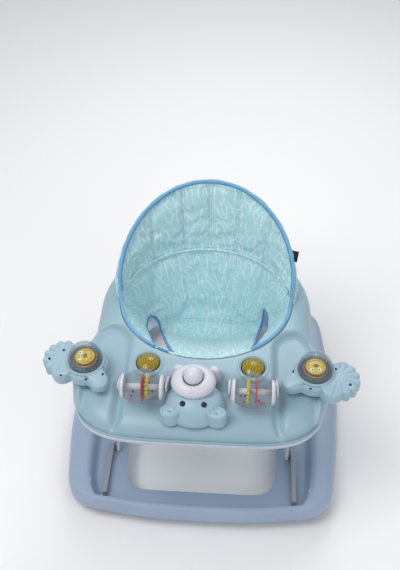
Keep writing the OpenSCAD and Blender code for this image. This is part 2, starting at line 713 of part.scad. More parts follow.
base_shell();
caster_sockets();
base_rails();
base_pivot_pins();
brake_pads();
leg_inner_tube();
cross_pins();
leg_inner_sliders();
leg_outer_tubes();
leg_outer_sliders();
tray_top();
tray_under();
tray_rails();
tray_pivot_pins();
height_rack();
seat_bucket();
seat_back();
back_wire();
seat_clips();
seat_tag();
bear_head();
bear_muzzle();
bear_paws();
rattle_brackets();
rattle_axles();
arm_posts();
button_cups();
button(-1);  // button_left
button(1);  // button_right
button_spring(-1);  // button_spring_left
button_spring(1);  // button_spring_right
bear_nose();
release_handle();
rattle_shell(-1);  // rattle_shell_left
rattle_caps(-1);  // rattle_caps_left
rattle_discs(-1);  // rattle_discs_left
rattle_shell(1);  // rattle_shell_right
rattle_caps(1);  // rattle_caps_right
rattle_discs(1);  // rattle_discs_right
arm_shell(-1);  // arm_shell_left
arm_ball(-1);  // arm_ball_left
face_base(-1);  // face_base_left
face_disc(-1);  // face_disc_left
arm_shell(1);  // arm_shell_right
arm_ball(1);  // arm_ball_right
face_base(1);  // face_base_right
face_disc(1);  // face_disc_right
fork("front_left");  // fork_front_left
wheel("front_left");  // wheel_front_left
fork("front_right");  // fork_front_right
wheel("front_right");  // wheel_front_right
fork("side_left");  // fork_side_left
wheel("side_left");  // wheel_side_left
fork("side_right");  // fork_side_right
wheel("side_right");  // wheel_side_right
fork("rear_left");  // fork_rear_left
wheel("rear_left");  // wheel_rear_left
fork("rear_right");  // fork_rear_right
wheel("rear_right");  // wheel_rear_right
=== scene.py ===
# %% [markdown]
# # Baby walker
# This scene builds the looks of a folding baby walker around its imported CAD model. Everything is in metres, in the frame
# that the CAD model uses: X across the walker, -Y towards its front, Z up, and the floor at zero.

# %% Load the frame
import math
import bmesh
import bpy
import numpy as np
from mathutils import Matrix, Vector


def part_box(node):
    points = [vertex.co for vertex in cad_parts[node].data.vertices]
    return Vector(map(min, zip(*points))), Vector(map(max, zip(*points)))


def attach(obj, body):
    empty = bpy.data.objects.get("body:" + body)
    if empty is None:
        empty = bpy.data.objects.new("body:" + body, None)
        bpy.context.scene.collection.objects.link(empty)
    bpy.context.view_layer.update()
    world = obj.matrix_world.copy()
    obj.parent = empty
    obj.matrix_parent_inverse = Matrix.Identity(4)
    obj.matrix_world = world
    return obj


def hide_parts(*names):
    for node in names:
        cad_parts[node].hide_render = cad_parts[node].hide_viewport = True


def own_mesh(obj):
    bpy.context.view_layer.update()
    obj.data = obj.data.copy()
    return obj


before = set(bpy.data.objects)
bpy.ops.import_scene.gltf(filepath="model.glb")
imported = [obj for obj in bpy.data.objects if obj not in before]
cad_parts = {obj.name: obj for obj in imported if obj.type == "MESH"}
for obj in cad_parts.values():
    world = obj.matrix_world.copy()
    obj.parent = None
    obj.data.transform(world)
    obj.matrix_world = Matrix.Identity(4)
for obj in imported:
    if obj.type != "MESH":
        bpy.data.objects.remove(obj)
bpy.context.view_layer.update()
print("nodes in the frame:", len(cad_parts))

# %% [markdown]
# ## Sizes
# These lengths are the same as in the CAD source, so that a rebuilt part covers the part it stands for.

# %% Sizes shared with the design
OPEN_Y, OPEN_A, OPEN_B = 0.035, 0.190, 0.165
TRAY_Z, EDGE_FALL, FALL_W, WALL = 0.400, 0.038, 0.052, 0.003
UNDER_Z, UNDER_H, SKIRT_H = 0.360, 0.028, 0.012
BASE_Z, DECK_Z, SKIRT_Z = 0.085, 0.050, 0.036
BACK_H, BACK_LEAN, BACK_T, BACK_LOW = 0.166, 0.046, 0.013, math.radians(-7)
BACK_END = math.radians(-2)
BACK_FROM = BACK_LOW + math.radians(5)
SEAT_Z, RIM_Z = 0.215, 0.397
BUTTON_X, BUTTON_Y, BUTTON_R, BUTTON_Z = 0.109, -0.148, 0.0235, 0.402
BEAR = (-0.006, -0.243)
MUZZLE = (-0.009, -0.219)
RATTLE_X, RATTLE_Y, RATTLE_Z, RATTLE_R, RATTLE_L = 0.110, -0.230, 0.430, 0.038, 0.088
BALL_X, BALL_Y, BALL_Z, BALL_R, ARM_LOW = 0.233, -0.172, 0.440, 0.035, 0.402
ARM_TURN = math.radians(-13)
WHEEL_R, WHEEL_W = 0.017, 0.014
SIDES = {"left": -1, "right": 1}


def turns(n, ends=False):
    """n angles around a full circle, with the last one left out unless ends is set."""
    return np.linspace(0, 2 * np.pi, n, endpoint=ends)


def smooth(u):
    c = np.clip(u, 0, 1)
    return c * c * (3 - 2 * c)


def edge_r(phi, a, b, n):
    return ((np.abs(np.cos(phi)) / a) ** n + (np.abs(np.sin(phi)) / b) ** n) ** (-1 / n)


def open_r(phi):
    return edge_r(phi, OPEN_A, OPEN_B, 2)


def tray_r(phi):
    s = np.sin(phi)
    front = edge_r(phi, 0.236 + 0.036 * smooth((-s - 0.33) * 4), 0.340, 2 + 3 * smooth(-s * 3))
    return np.where(s >= 0, edge_r(phi, 0.236, 0.228, 2), front)


def bulge(phi, middle):
    d = (np.degrees(phi) - middle + 540) % 360 - 180
    return np.exp(-((d / 10) ** 2))


def base_r(phi):
    lobes = bulge(phi, 47) + bulge(phi, 133) + bulge(phi, -44) + bulge(phi, 224)
    lobes = lobes + 0.15 * (bulge(phi, 2) + bulge(phi, 178)) - 0.3 * (bulge(phi, 29) + bulge(phi, 151))
    return edge_r(phi, 0.323, 0.316, 3.5) + 0.028 * lobes


def deck_r(phi):
    square = edge_r(phi, 0.245, np.where(np.sin(phi) > 0, 0.264, 0.306), 7)
    return np.minimum(square, base_r(phi) - 0.030)


def foot_r(phi):
    return edge_r(phi, 0.177, 0.250, 9)


def scoop_gap(x, y):
    return np.hypot(np.abs(x) - 0.197, np.maximum(0, y + 0.092) + np.minimum(0, y + 0.260))


def tray_h(x, y, d):
    """Height of the tray's surface at a point that lies d inside its outer edge."""
    fall = EDGE_FALL * (1 - np.sqrt(1 - (1 - np.minimum(1, d / FALL_W)) ** 2))
    panel = 0.016 * smooth((-y - 0.168) / 0.030) * (1 - smooth((np.abs(x) - 0.160) / 0.020))
    return TRAY_Z - fall - 0.015 * smooth((0.050 - scoop_gap(x, y)) / 0.012) - panel


def back_point(t, part, out):
    """A point on the padded back: part is 0 at the tray and 1 at the top edge, out is measured away from the seat."""
    rise = np.maximum(0, np.sin((t - BACK_LOW) * np.pi / (np.pi - 2 * BACK_LOW))) ** 0.85
    rise = rise * smooth((np.minimum(t, np.pi - t) - BACK_END) / math.radians(11)) ** 0.5
    h = BACK_H * rise * part
    k = h / BACK_H
    x = (OPEN_A - 0.001 + 0.4 * BACK_LEAN * k + out) * np.cos(t)
    y = OPEN_Y + (OPEN_B - 0.001 + BACK_LEAN * k + out) * np.sin(t)
    return np.stack([x, y, TRAY_Z + 0.001 + h], -1)


def sling_point(t, v):
    """A point on the sling's middle surface: v is 0 at the bottom and 1 at the tray."""
    rear = 0.125 + 0.0745 * v ** 0.75
    front = 0.062 - 0.1915 * v
    a = 0.112 + 0.0775 * v ** 0.55
    return np.stack([(a - 0.0025) * np.cos(t), (rear + front) / 2 + ((rear - front) / 2 - 0.0025) * np.sin(t),
                     SEAT_Z + (RIM_Z - SEAT_Z) * v], -1)


print("tray outline at the front:", round(float(tray_r(np.array(1.5 * np.pi))), 3))

# %% [markdown]
# ## Camera, floor and light
# The camera looks down on the tray at a steep angle, with a soft studio light above and a pale floor below.

# %% Camera, floor and light
az, el, roll = math.radians(4.5), math.radians(47), math.radians(-1)
back_way = Vector((math.sin(az) * math.cos(el), -math.cos(az) * math.cos(el), math.sin(el)))
right_way = Vector((math.cos(az), math.sin(az), 0))
up_way = back_way.cross(right_way)
right_way, up_way = (right_way * math.cos(roll) + up_way * math.sin(roll),
                     up_way * math.cos(roll) - right_way * math.sin(roll))
camera = bpy.data.objects.new("camera", bpy.data.cameras.new("camera"))
camera.matrix_world = Matrix((right_way, up_way, back_way)).transposed().to_4x4()
camera.location = (0.0798, -1.1364, 1.7073)
camera.data.lens = 49.705
camera.data.sensor_fit = "AUTO"
camera.data.sensor_width = 36
bpy.context.collection.objects.link(camera)
bpy.context.scene.camera = camera


def area_light(name, place, target, size, power, colour):
    data = bpy.data.lights.new(name, "AREA")
    data.shape = "DISK"
    data.size = size
    data.energy = power
    data.color = colour
    light = bpy.data.objects.new(name, data)
    light.location = place
    light.rotation_euler = (Vector(target) - Vector(place)).to_track_quat("-Z", "Y").to_euler()
    bpy.context.collection.objects.link(light)
    return light


key = area_light("key light", (-0.9, -0.7, 2.4), (0, 0, 0.3), 1.3, 25, (1, 0.99, 0.97))
fill = area_light("fill light", (1.4, -1.5, 1.9), (0, 0, 0.3), 1.6, 9, (0.97, 0.98, 1))
rim = area_light("rear light", (0.2, 1.6, 1.9), (0, 0, 0.3), 1.3, 16, (1, 1, 1))
bpy.context.scene.view_settings.view_transform = "Standard"
world = bpy.data.worlds.new("studio")
bpy.context.scene.world = world
world.use_nodes = True
world.node_tree.nodes["Background"].inputs["Color"].default_value = (0.92, 0.94, 0.96, 1)
world.node_tree.nodes["Background"].inputs["Strength"].default_value = 0.52
print("camera at", [round(c, 3) for c in camera.location])

# %% [markdown]
# ## Shader groups
# Each group does one thing that several materials share. A material feeds a group with object coordinates and a colour,
# and wires its outputs to colour, roughness and bump. Mould Finish is for plastics, Metal Finish for tubes and pins,
# Loop Print for the seat's print and Cloth Weave for its threads.

# %% Node helpers
def add(tree, kind, **settings):
    made = tree.nodes.new(kind)
    for key_name, value in settings.items():
        setattr(made, key_name, value)
    return made


def feed(tree, made, **values):
    """Sets or links a node's inputs by name, with _ for a space."""
    for key_name, value in values.items():
        socket = made.inputs[int(key_name[1:])] if key_name[1:].isdigit() else made.inputs[key_name.replace("_", " ")]
        if isinstance(value, bpy.types.NodeSocket):
            tree.links.new(value, socket)
        else:
            socket.default_value = value[:3] if socket.type == "VECTOR" else value
    return made


def calc(tree, operation, a, b=0.0, c=0.0):
    made = add(tree, "ShaderNodeMath", operation=operation)
    return feed(tree, made, i0=a, i1=b, i2=c).outputs[0]


def soft_step(tree, value, low, high):
    """0 below low, 1 above high."""
    made = add(tree, "ShaderNodeMapRange", interpolation_type="SMOOTHSTEP")
    return feed(tree, made, Value=value, From_Min=low, From_Max=high).outputs[0]


def noise(tree, vector, scale, detail=3.0):
    made = add(tree, "ShaderNodeTexNoise")
    return feed(tree, made, Vector=vector, Scale=scale, Detail=detail).outputs[0]


def blend_colour(tree, factor, a, b, kind="MIX"):
    made = add(tree, "ShaderNodeMix", data_type="RGBA", blend_type=kind)
    return feed(tree, made, i0=factor, i6=a, i7=b).outputs[2]


def new_group(name, inputs, outputs):
    tree = bpy.data.node_groups.new(name, "ShaderNodeTree")
    for way, sockets in (("INPUT", inputs), ("OUTPUT", outputs)):
        for label, kind, default in sockets:
            socket = tree.interface.new_socket(label, in_out=way, socket_type="NodeSocket" + kind)
            if default is not None:
                socket.default_value = default
    return tree, tree.nodes.new("NodeGroupInput").outputs, tree.nodes.new("NodeGroupOutput").inputs


def put(tree, outputs, **values):
    for label, value in values.items():
        tree.links.new(value, outputs[label])


GREY = (0.5, 0.5, 0.5, 1)

# %% Mould Finish
tree, given, out = new_group("Mould Finish",
                             [("Vector", "Vector", None), ("Colour", "Color", GREY), ("Rough", "Float", 0.35),
                                              ("Texture", "Float", 1.0)],
                             [("Colour", "Color", None), ("Roughness", "Float", None), ("Height", "Float", None)])
broad = noise(tree, given["Vector"], 9.0)
fine = noise(tree, given["Vector"], 160.0, 4.0)
grain = noise(tree, given["Vector"], 1400.0, 2.0)
flow = noise(tree, given["Vector"], 34.0, 6.0)
shade = calc(tree, "MULTIPLY_ADD", broad, 0.14, 0.93)
tinted = add(tree, "ShaderNodeVectorMath", operation="SCALE")
feed(tree, tinted, i0=given["Colour"], Scale=shade)
dust = soft_step(tree, flow, 0.62, 0.80)
dusty = blend_colour(tree, calc(tree, "MULTIPLY", dust, 0.06), tinted.outputs[0], (0.72, 0.72, 0.70, 1))
rough = calc(tree, "ADD", given["Rough"], calc(tree, "MULTIPLY_ADD", fine, 0.16, -0.08))
rough = calc(tree, "MULTIPLY_ADD", dust, 0.10, rough)
height = calc(tree, "MULTIPLY", calc(tree, "MULTIPLY_ADD", grain, 0.6, calc(tree, "MULTIPLY", fine, 0.4)),
              given["Texture"])
put(tree, out, Colour=dusty, Roughness=rough, Height=height)
MOULD = tree

# %% Metal Finish
tree, given, out = new_group("Metal Finish",
                             [("Vector", "Vector", None), ("Colour", "Color", GREY), ("Rough", "Float", 0.3)],
                             [("Colour", "Color", None), ("Roughness", "Float", None), ("Height", "Float", None)])
stretched = add(tree, "ShaderNodeVectorMath", operation="MULTIPLY")
feed(tree, stretched, i0=given["Vector"], i1=(900, 40, 40))
drawn = noise(tree, stretched.outputs[0], 1.0, 4.0)
scuffs = soft_step(tree, noise(tree, given["Vector"], 70.0, 6.0), 0.60, 0.72)
tinted = add(tree, "ShaderNodeVectorMath", operation="SCALE")
feed(tree, tinted, i0=given["Colour"], Scale=calc(tree, "MULTIPLY_ADD", drawn, 0.24, 0.88))
worn = blend_colour(tree, calc(tree, "MULTIPLY", scuffs, 0.25), tinted.outputs[0], (0.32, 0.31, 0.30, 1))
rough = calc(tree, "ADD", given["Rough"],
             calc(tree, "MULTIPLY_ADD", drawn, 0.18, calc(tree, "MULTIPLY", scuffs, 0.15)))
put(tree, out, Colour=worn, Roughness=rough, Height=drawn)
METAL = tree

# %% Loop Print
# Each cell of a loose grid holds one open loop, turned and stretched by its own random amounts. Two grids overlap.
tree, given, out = new_group("Loop Print",
                             [("Vector", "Vector", None), ("Size", "Float", 0.044), ("Line", "Float", 0.0021)],
                             [("Mask", "Float", None)])
layers = []
for offset, tilt in (((0, 0, 0), 0.0), ((0.37, 0.61, 0), 0.25)):
    scaled = add(tree, "ShaderNodeVectorMath", operation="SCALE")
    feed(tree, scaled, i0=given["Vector"], Scale=calc(tree, "DIVIDE", 1.0, given["Size"]))
    moved = feed(tree, add(tree, "ShaderNodeVectorMath", operation="ADD"), i0=scaled.outputs[0], i1=offset)
    cells = add(tree, "ShaderNodeTexVoronoi", voronoi_dimensions="2D", feature="F1")
    feed(tree, cells, Vector=moved.outputs[0], Scale=1.0, Randomness=0.45)
    random = feed(tree, add(tree, "ShaderNodeSeparateColor"), Color=cells.outputs["Color"]).outputs
    local = feed(tree, add(tree, "ShaderNodeVectorMath", operation="SUBTRACT"), i0=moved.outputs[0],
                 i1=cells.outputs["Position"])
    flip = calc(tree, "MULTIPLY", calc(tree, "GREATER_THAN", random[0], 0.45), 3.1416)
    angle = calc(tree, "ADD", flip, calc(tree, "MULTIPLY_ADD", random[1], 0.9, tilt - 0.45))
    turned = feed(tree, add(tree, "ShaderNodeVectorRotate", rotation_type="Z_AXIS"), Vector=local.outputs[0],
                  Angle=angle)
    place = feed(tree, add(tree, "ShaderNodeSeparateXYZ"), Vector=turned.outputs[0]).outputs
    phase = calc(tree, "MULTIPLY_ADD", place[1], 5.5, calc(tree, "MULTIPLY", random[1], 6.0))
    across = calc(tree, "ADD", place[0], calc(tree, "MULTIPLY", calc(tree, "SINE", phase), 0.035))
    half = calc(tree, "MULTIPLY_ADD", random[2], 0.12, 0.16)
    held = calc(tree, "MAXIMUM", calc(tree, "MINIMUM", place[1], half), calc(tree, "MULTIPLY", half, -1.0))
    along = calc(tree, "SUBTRACT", place[1], held)
    distance = calc(tree, "SQRT", calc(tree, "MULTIPLY_ADD", along, along, calc(tree, "MULTIPLY", across, across)))
    radius = calc(tree, "MULTIPLY_ADD", place[1], 0.16, calc(tree, "MULTIPLY_ADD", random[1], 0.06, 0.17))
    gap = calc(tree, "ABSOLUTE", calc(tree, "SUBTRACT", distance, radius))
    width = calc(tree, "DIVIDE", given["Line"], given["Size"])
    edge = soft_step(tree, gap, calc(tree, "MULTIPLY", width, 0.35), calc(tree, "MULTIPLY", width, 1.0))
    opened = calc(tree, "LESS_THAN", place[1],
                  calc(tree, "MULTIPLY_ADD", random[0], 0.30, calc(tree, "MULTIPLY", half, 0.9)))
    layers.append(calc(tree, "MULTIPLY", calc(tree, "SUBTRACT", 1.0, edge), opened))
put(tree, out, Mask=calc(tree, "MAXIMUM", layers[0], calc(tree, "MULTIPLY", layers[1], 0.75)))
LOOPS = tree

# %% Cloth Weave
tree, given, out = new_group("Cloth Weave", [("Vector", "Vector", None), ("Threads", "Float", 1500.0)],
                             [("Height", "Float", None), ("Shade", "Float", None)])
place = feed(tree, add(tree, "ShaderNodeSeparateXYZ"), Vector=given["Vector"]).outputs
warp = calc(tree, "SINE", calc(tree, "MULTIPLY", place[0], calc(tree, "MULTIPLY", given["Threads"], 3.1416)))
weft = calc(tree, "SINE", calc(tree, "MULTIPLY", place[1], calc(tree, "MULTIPLY", given["Threads"], 3.1416)))
weave = calc(tree, "MULTIPLY", warp, weft)
lumps = noise(tree, given["Vector"], 120.0, 5.0)
creases = noise(tree, given["Vector"], 26.0, 2.0)
height = calc(tree, "ADD", calc(tree, "MULTIPLY", weave, 0.22),
              calc(tree, "MULTIPLY_ADD", lumps, 0.5, calc(tree, "MULTIPLY", creases, 1.4)))
put(tree, out, Height=height, Shade=calc(tree, "MULTIPLY_ADD", lumps, 0.22,
                                         calc(tree, "MULTIPLY_ADD", weave, 0.03, 0.89)))
WEAVE = tree
print("shader groups:", [g.name for g in bpy.data.node_groups])

# %% [markdown]
# ## Materials
# Constants such as sheen and transmission are set on the shader itself.

# %% Materials
def rgb(r, g, b):
    """An sRGB colour from 0 to 255, as the linear colour that shaders use."""
    linear = [(c / 255 / 12.92) if c / 255 <= 0.04045 else ((c / 255 + 0.055) / 1.055) ** 2.4 for c in (r, g, b)]
    return (*linear, 1)


def new_material(name, **constants):
    material = bpy.data.materials.new(name)
    material.use_nodes = True
    shader = material.node_tree.nodes["Principled BSDF"]
    for label, value in constants.items():
        shader.inputs[label.replace("_", " ")].default_value = value
    return material, material.node_tree, shader


def bumped(tree, shader, height, strength, distance):
    bump = feed(tree, add(tree, "ShaderNodeBump"), Height=height, Strength=strength, Distance=distance)
    tree.links.new(bump.outputs[0], shader.inputs["Normal"])


def finished(name, group, colour, rough, strength, distance, texture=None, **constants):
    """A material whose look comes from Mould Finish or Metal Finish."""
    material, tree, shader = new_material(name, **constants)
    look = add(tree, "ShaderNodeGroup", node_tree=group)
    feed(tree, look, Vector=add(tree, "ShaderNodeTexCoord").outputs["Object"], Colour=colour, Rough=rough)
    if texture is not None:
        look.inputs["Texture"].default_value = texture
    tree.links.new(look.outputs["Colour"], shader.inputs["Base Color"])
    tree.links.new(look.outputs["Roughness"], shader.inputs["Roughness"])
    bumped(tree, shader, look.outputs["Height"], strength, distance)
    return material


def plastic(name, colour, rough=0.34, texture=1.0, **constants):
    return finished(name, MOULD, colour, rough, 0.25, 0.0003, texture, Specular_IOR_Level=0.42, **constants)


def metal(name, colour, rough=0.28):
    return finished(name, METAL, colour, rough, 0.12, 0.0001, Metallic=1.0)


def cloth(name, colour, printed=None, threads=1500.0, strength=0.35, rough=0.86):
    """Woven fabric that reads its flat place, in metres, from the print attribute."""
    material, tree, shader = new_material(name, Sheen_Weight=0.25, Sheen_Roughness=0.5, Specular_IOR_Level=0.2,
                                          Roughness=rough)
    flat = add(tree, "ShaderNodeAttribute", attribute_name="print").outputs["Vector"]
    weave = feed(tree, add(tree, "ShaderNodeGroup", node_tree=WEAVE), Vector=flat, Threads=threads)
    shown = colour
    if printed:
        loops = feed(tree, add(tree, "ShaderNodeGroup", node_tree=LOOPS), Vector=flat)
        shown = blend_colour(tree, calc(tree, "MULTIPLY", loops.outputs[0], 0.62), colour, printed)
    tinted = feed(tree, add(tree, "ShaderNodeVectorMath", operation="SCALE"), i0=shown,
                  Scale=weave.outputs["Shade"])
    tree.links.new(tinted.outputs[0], shader.inputs["Base Color"])
    bumped(tree, shader, weave.outputs["Height"], strength, 0.0015)
    return material


M = {
    "tray_blue": plastic("tray blue", rgb(152, 180, 193)),
    "base_blue": plastic("base blue", rgb(157, 175, 199), 0.38),
    "toy_blue": plastic("toy blue", rgb(158, 186, 200), 0.32),
    "shell_white": plastic("shell white", rgb(196, 206, 220), 0.36),
    "toy_white": plastic("toy white", rgb(208, 209, 218), 0.30),
    "button_yellow": plastic("button yellow", rgb(150, 131, 22), 0.12, 0.3, Transmission_Weight=0.2,
                             Coat_Weight=0.5),
    "rib_yellow": plastic("button rib yellow", rgb(178, 158, 40), 0.30, 0.5),
    "disc_yellow": plastic("disc yellow", rgb(205, 182, 62), 0.30),
    "rim_brown": plastic("rim brown", rgb(88, 70, 48), 0.34),
    "face_orange": plastic("face orange", rgb(196, 128, 58), 0.32),
    "bead_red": plastic("bead red", rgb(196, 42, 40), 0.25, 0.6),
    "eye_white": plastic("eye white", rgb(236, 236, 232), 0.22, 0.4),
    # This black is the bear's real eye colour and also the painted shade on the screw heads.
    "eye_black": plastic("eye black", rgb(22, 22, 24), 0.12, 0.2),
    "nose_grey": plastic("nose grey", rgb(120, 110, 96), 0.32),
    "rail_plastic": plastic("rail plastic", rgb(150, 154, 160), 0.45, 1.4),
    "wheel_rubber": plastic("wheel tread", rgb(96, 102, 112), 0.55, 1.8),
    "hub_white": plastic("wheel hub", rgb(206, 208, 214), 0.35),
    "pad_rubber": plastic("brake pad rubber", rgb(60, 62, 66), 0.75, 2.2),
    "frame_metal": metal("painted tube", rgb(196, 199, 204), 0.26),
    "pin_steel": metal("pin steel", rgb(150, 152, 156), 0.22),
    "screw_steel": metal("screw steel", rgb(82, 82, 86), 0.35),
    "seat_fabric": cloth("seat cloth", rgb(180, 220, 226), rgb(242, 246, 247)),
    "binding": cloth("binding tape", rgb(122, 176, 212), threads=1000.0, strength=0.5),
    "leg_binding": cloth("leg hole binding", rgb(84, 146, 190), threads=1000.0, strength=0.5),
    "thread": plastic("sewing thread", rgb(120, 160, 178), 0.7, 2.0),
    "tag_black": cloth("tag black", rgb(24, 24, 27), threads=1200.0),
}
clear = finished("clear plastic", MOULD, rgb(140, 158, 168), 0.05, 0.05, 0.0002, 0.4, Coat_Weight=0.8)
tree = clear.node_tree
edge_on = add(tree, "ShaderNodeLayerWeight")
edge_on.inputs["Blend"].default_value = 0.35
seen = feed(tree, add(tree, "ShaderNodeMapRange"), Value=edge_on.outputs["Facing"], To_Min=0.04, To_Max=0.50)
tree.links.new(seen.outputs[0], tree.nodes["Principled BSDF"].inputs["Alpha"])
M["clear_plastic"] = clear
print("materials:", len(M))

# %% The floor
floor_material, tree, shader = new_material("studio floor", Roughness=0.6)
speckle = noise(tree, add(tree, "ShaderNodeTexCoord").outputs["Object"], 3.0)
shader.inputs["Base Color"].default_value = rgb(246, 246, 247)
tree.links.new(calc(tree, "MULTIPLY_ADD", speckle, 0.08, 0.55), shader.inputs["Roughness"])
floor_mesh = bpy.data.meshes.new("floor")
floor_mesh.from_pydata([(-6, -6, 0), (6, -6, 0), (6, 6, 0), (-6, 6, 0)], [], [(0, 1, 2, 3)])
floor_mesh.materials.append(floor_material)
floor = bpy.data.objects.new("floor", floor_mesh)
bpy.context.collection.objects.link(floor)

# %% [markdown]
# ## Building closed pieces
# Most pieces are lofts: a list of loops with the same number of points, joined in order. A ring loft also joins its last
# loop to its first. All meshes are made around the origin of the shared frame.

# %% Mesh helpers
def ride(piece, body, nodes=()):
    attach(piece, body)
    if nodes:
        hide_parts(*nodes)
    return piece


def piece_name(name):
    plain = name.replace(" ", "_")
    return plain + "_skin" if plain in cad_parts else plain


def build(name, points, faces, materials, picks=None, flat=None):
    """A mesh object. picks gives each face's material, flat gives each point's print coordinates in metres."""
    mesh = bpy.data.meshes.new(name)
    mesh.from_pydata([tuple(p) for p in np.asarray(points, float)], [], [tuple(int(i) for i in f) for f in faces])
    for key_name in ([materials] if isinstance(materials, str) else materials):
        mesh.materials.append(M[key_name])
    if picks is not None:
        mesh.polygons.foreach_set("material_index", np.asarray(picks, np.int32))
    if flat is not None:
        attribute = mesh.attributes.new("print", "FLOAT_VECTOR", "POINT")
        values = np.zeros((len(points), 3), np.float32)
        values[:, :2] = np.asarray(flat, np.float32)
        attribute.data.foreach_set("vector", values.ravel())
    mesh.validate()
    outward(mesh)
    mesh.shade_smooth()
    piece = bpy.data.objects.new(piece_name(name), mesh)
    bpy.context.collection.objects.link(piece)
    return piece


def outward(mesh):
    """Turns every normal outwards."""
    work = bmesh.new()
    work.from_mesh(mesh)
    bmesh.ops.recalc_face_normals(work, faces=work.faces)
    work.to_mesh(mesh)
    work.free()


def loft_faces(n, m, ring):
    """Quads between n loops of m points, with n-gon caps at both ends unless it is a ring."""
    i, j = np.meshgrid(np.arange(n if ring else n - 1), np.arange(m), indexing="ij")
    up, round_j = (i + 1) % n, (j + 1) % m
    quads = np.stack([i * m + j, i * m + round_j, up * m + round_j, up * m + j], -1).reshape(-1, 4).tolist()
    return quads if ring else quads + [list(range(m))[::-1], [(n - 1) * m + k for k in range(m)]]


def loft(name, loops, materials, ring=False, pick=None, flat=None):
    loops = np.asarray(loops, float)
    n, m = loops.shape[:2]
    faces = loft_faces(n, m, ring)
    picks = None if pick is None else [pick[min(f) // m % len(pick)] for f in faces]
    return build(name, loops.reshape(-1, 3), faces, materials, picks, flat)


def circle(cx, cy, a, b, z, n=64):
    t = turns(n)
    return np.stack([cx + a * np.cos(t), cy + b * np.sin(t), np.full(n, z)], -1)


def lathe(name, profile, materials, n=72, ring=True, pick=None):
    """A closed profile of (radius, height) points turned about Z."""
    return loft(name, [circle(0, 0, r, r, z, n) for r, z in profile], materials, ring, pick)


def rounded(profile, radius, steps=4):
    """The closed profile with each corner rounded."""
    made = []
    count = len(profile)
    for k in range(count):
        a, b, c = (np.array(profile[(k + d) % count], float) for d in (-1, 0, 1))
        to_a, to_c = a - b, c - b
        reach = min(radius, 0.45 * np.linalg.norm(to_a), 0.45 * np.linalg.norm(to_c))
        start, end = b + to_a / np.linalg.norm(to_a) * reach, b + to_c / np.linalg.norm(to_c) * reach
        for s in np.linspace(0, 1, steps):
            made.append((1 - s) ** 2 * start + 2 * s * (1 - s) * b + s * s * end)
    return made


def place(piece, matrix):
    """Moves a finished mesh, so that its object stays at the origin."""
    piece.data.transform(matrix)
    if matrix.determinant() < 0:
        outward(piece.data)
    return piece


def joined(name, pieces):
    """One object from several, with their materials kept."""
    bpy.ops.object.select_all(action="DESELECT")
    for piece in pieces:
        piece.select_set(True)
    bpy.context.view_layer.objects.active = pieces[0]
    bpy.ops.object.join()
    pieces[0].name = piece_name(name)
    return pieces[0]


def tube(name, path, radius, material, n=10, closed=False, wobble=0.0, seed=1, flat_scale=1.0):
    """A round tube along points, with its thickness varied a little, as in a gathered binding."""
    path = np.asarray(path, float)
    ahead, behind = np.roll(path, -1, 0), np.roll(path, 1, 0)
    if not closed:
        ahead[-1], behind[0] = path[-1], path[0]
    way = ahead - behind
    way /= np.linalg.norm(way, axis=1)[:, None]
    side = np.cross(way, (0, 0, 1.0))
    side /= np.maximum(np.linalg.norm(side, axis=1), 1e-6)[:, None]
    top = np.cross(side, way)
    t = turns(n)
    rng = np.random.default_rng(seed)
    thick = radius * (1 + wobble * np.convolve(rng.standard_normal(len(path) + 4), np.ones(5) / 2.2, "valid"))
    loops = path[:, None] + thick[:, None, None] * (side[:, None] * np.cos(t)[None, :, None]
                                                    + top[:, None] * np.sin(t)[None, :, None])
    run = np.concatenate([[0], np.cumsum(np.linalg.norm(np.diff(path, axis=0), axis=1))])
    flat = np.stack([np.repeat(run, n), np.tile(t * radius, len(path))], -1) * flat_scale
    return loft(name, loops, material, closed, flat=flat)


def resample(path, step, closed=False):
    """Points at an even distance along a line."""
    path = np.asarray(path, float)
    if closed:
        path = np.vstack([path, path[:1]])
    run = np.concatenate([[0], np.cumsum(np.linalg.norm(np.diff(path, axis=0), axis=1))])
    count = max(3, int(round(run[-1] / step)) + 1)
    at = np.linspace(0, run[-1], count)
    even = np.stack([np.interp(at, run, path[:, k]) for k in range(3)], -1)
    return even[:-1] if closed else even


# %% [markdown]
# ## The tray
# The upper shell follows the same outline as the CAD part, with finer rounding. Cutters open it for the two buttons.

# %% Tray shells
def cut(piece, cutters):
    """Takes closed cutters out of a piece."""
    for cutter in cutters:
        boolean = piece.modifiers.new("cut", "BOOLEAN")
        boolean.operation = "DIFFERENCE"
        boolean.solver = "EXACT"
        boolean.object = cutter
        bpy.context.view_layer.objects.active = piece
        bpy.ops.object.modifier_apply(modifier=boolean.name)
        bpy.data.objects.remove(cutter)
    return piece


def round_cutter(x, y, low, high, r, n=96):
    return build("cutter", np.vstack([circle(x, y, r, r, low, n), circle(x, y, r, r, high, n)]),
                 loft_faces(2, n, False), "tray_blue")


phi = turns(432)
a, b = open_r(phi), tray_r(phi)


def at(r, z, around=phi, middle=OPEN_Y):
    z = np.broadcast_to(z, around.shape)
    return np.stack([r * np.cos(around), middle + r * np.sin(around), z], -1)


def on_tray(share, drop=0.0):
    r = a + 0.004 + (b - a - 0.004) * share
    p = at(r, 0.0)
    p[:, 2] = tray_h(p[:, 0], p[:, 1], b - r) - drop
    return p


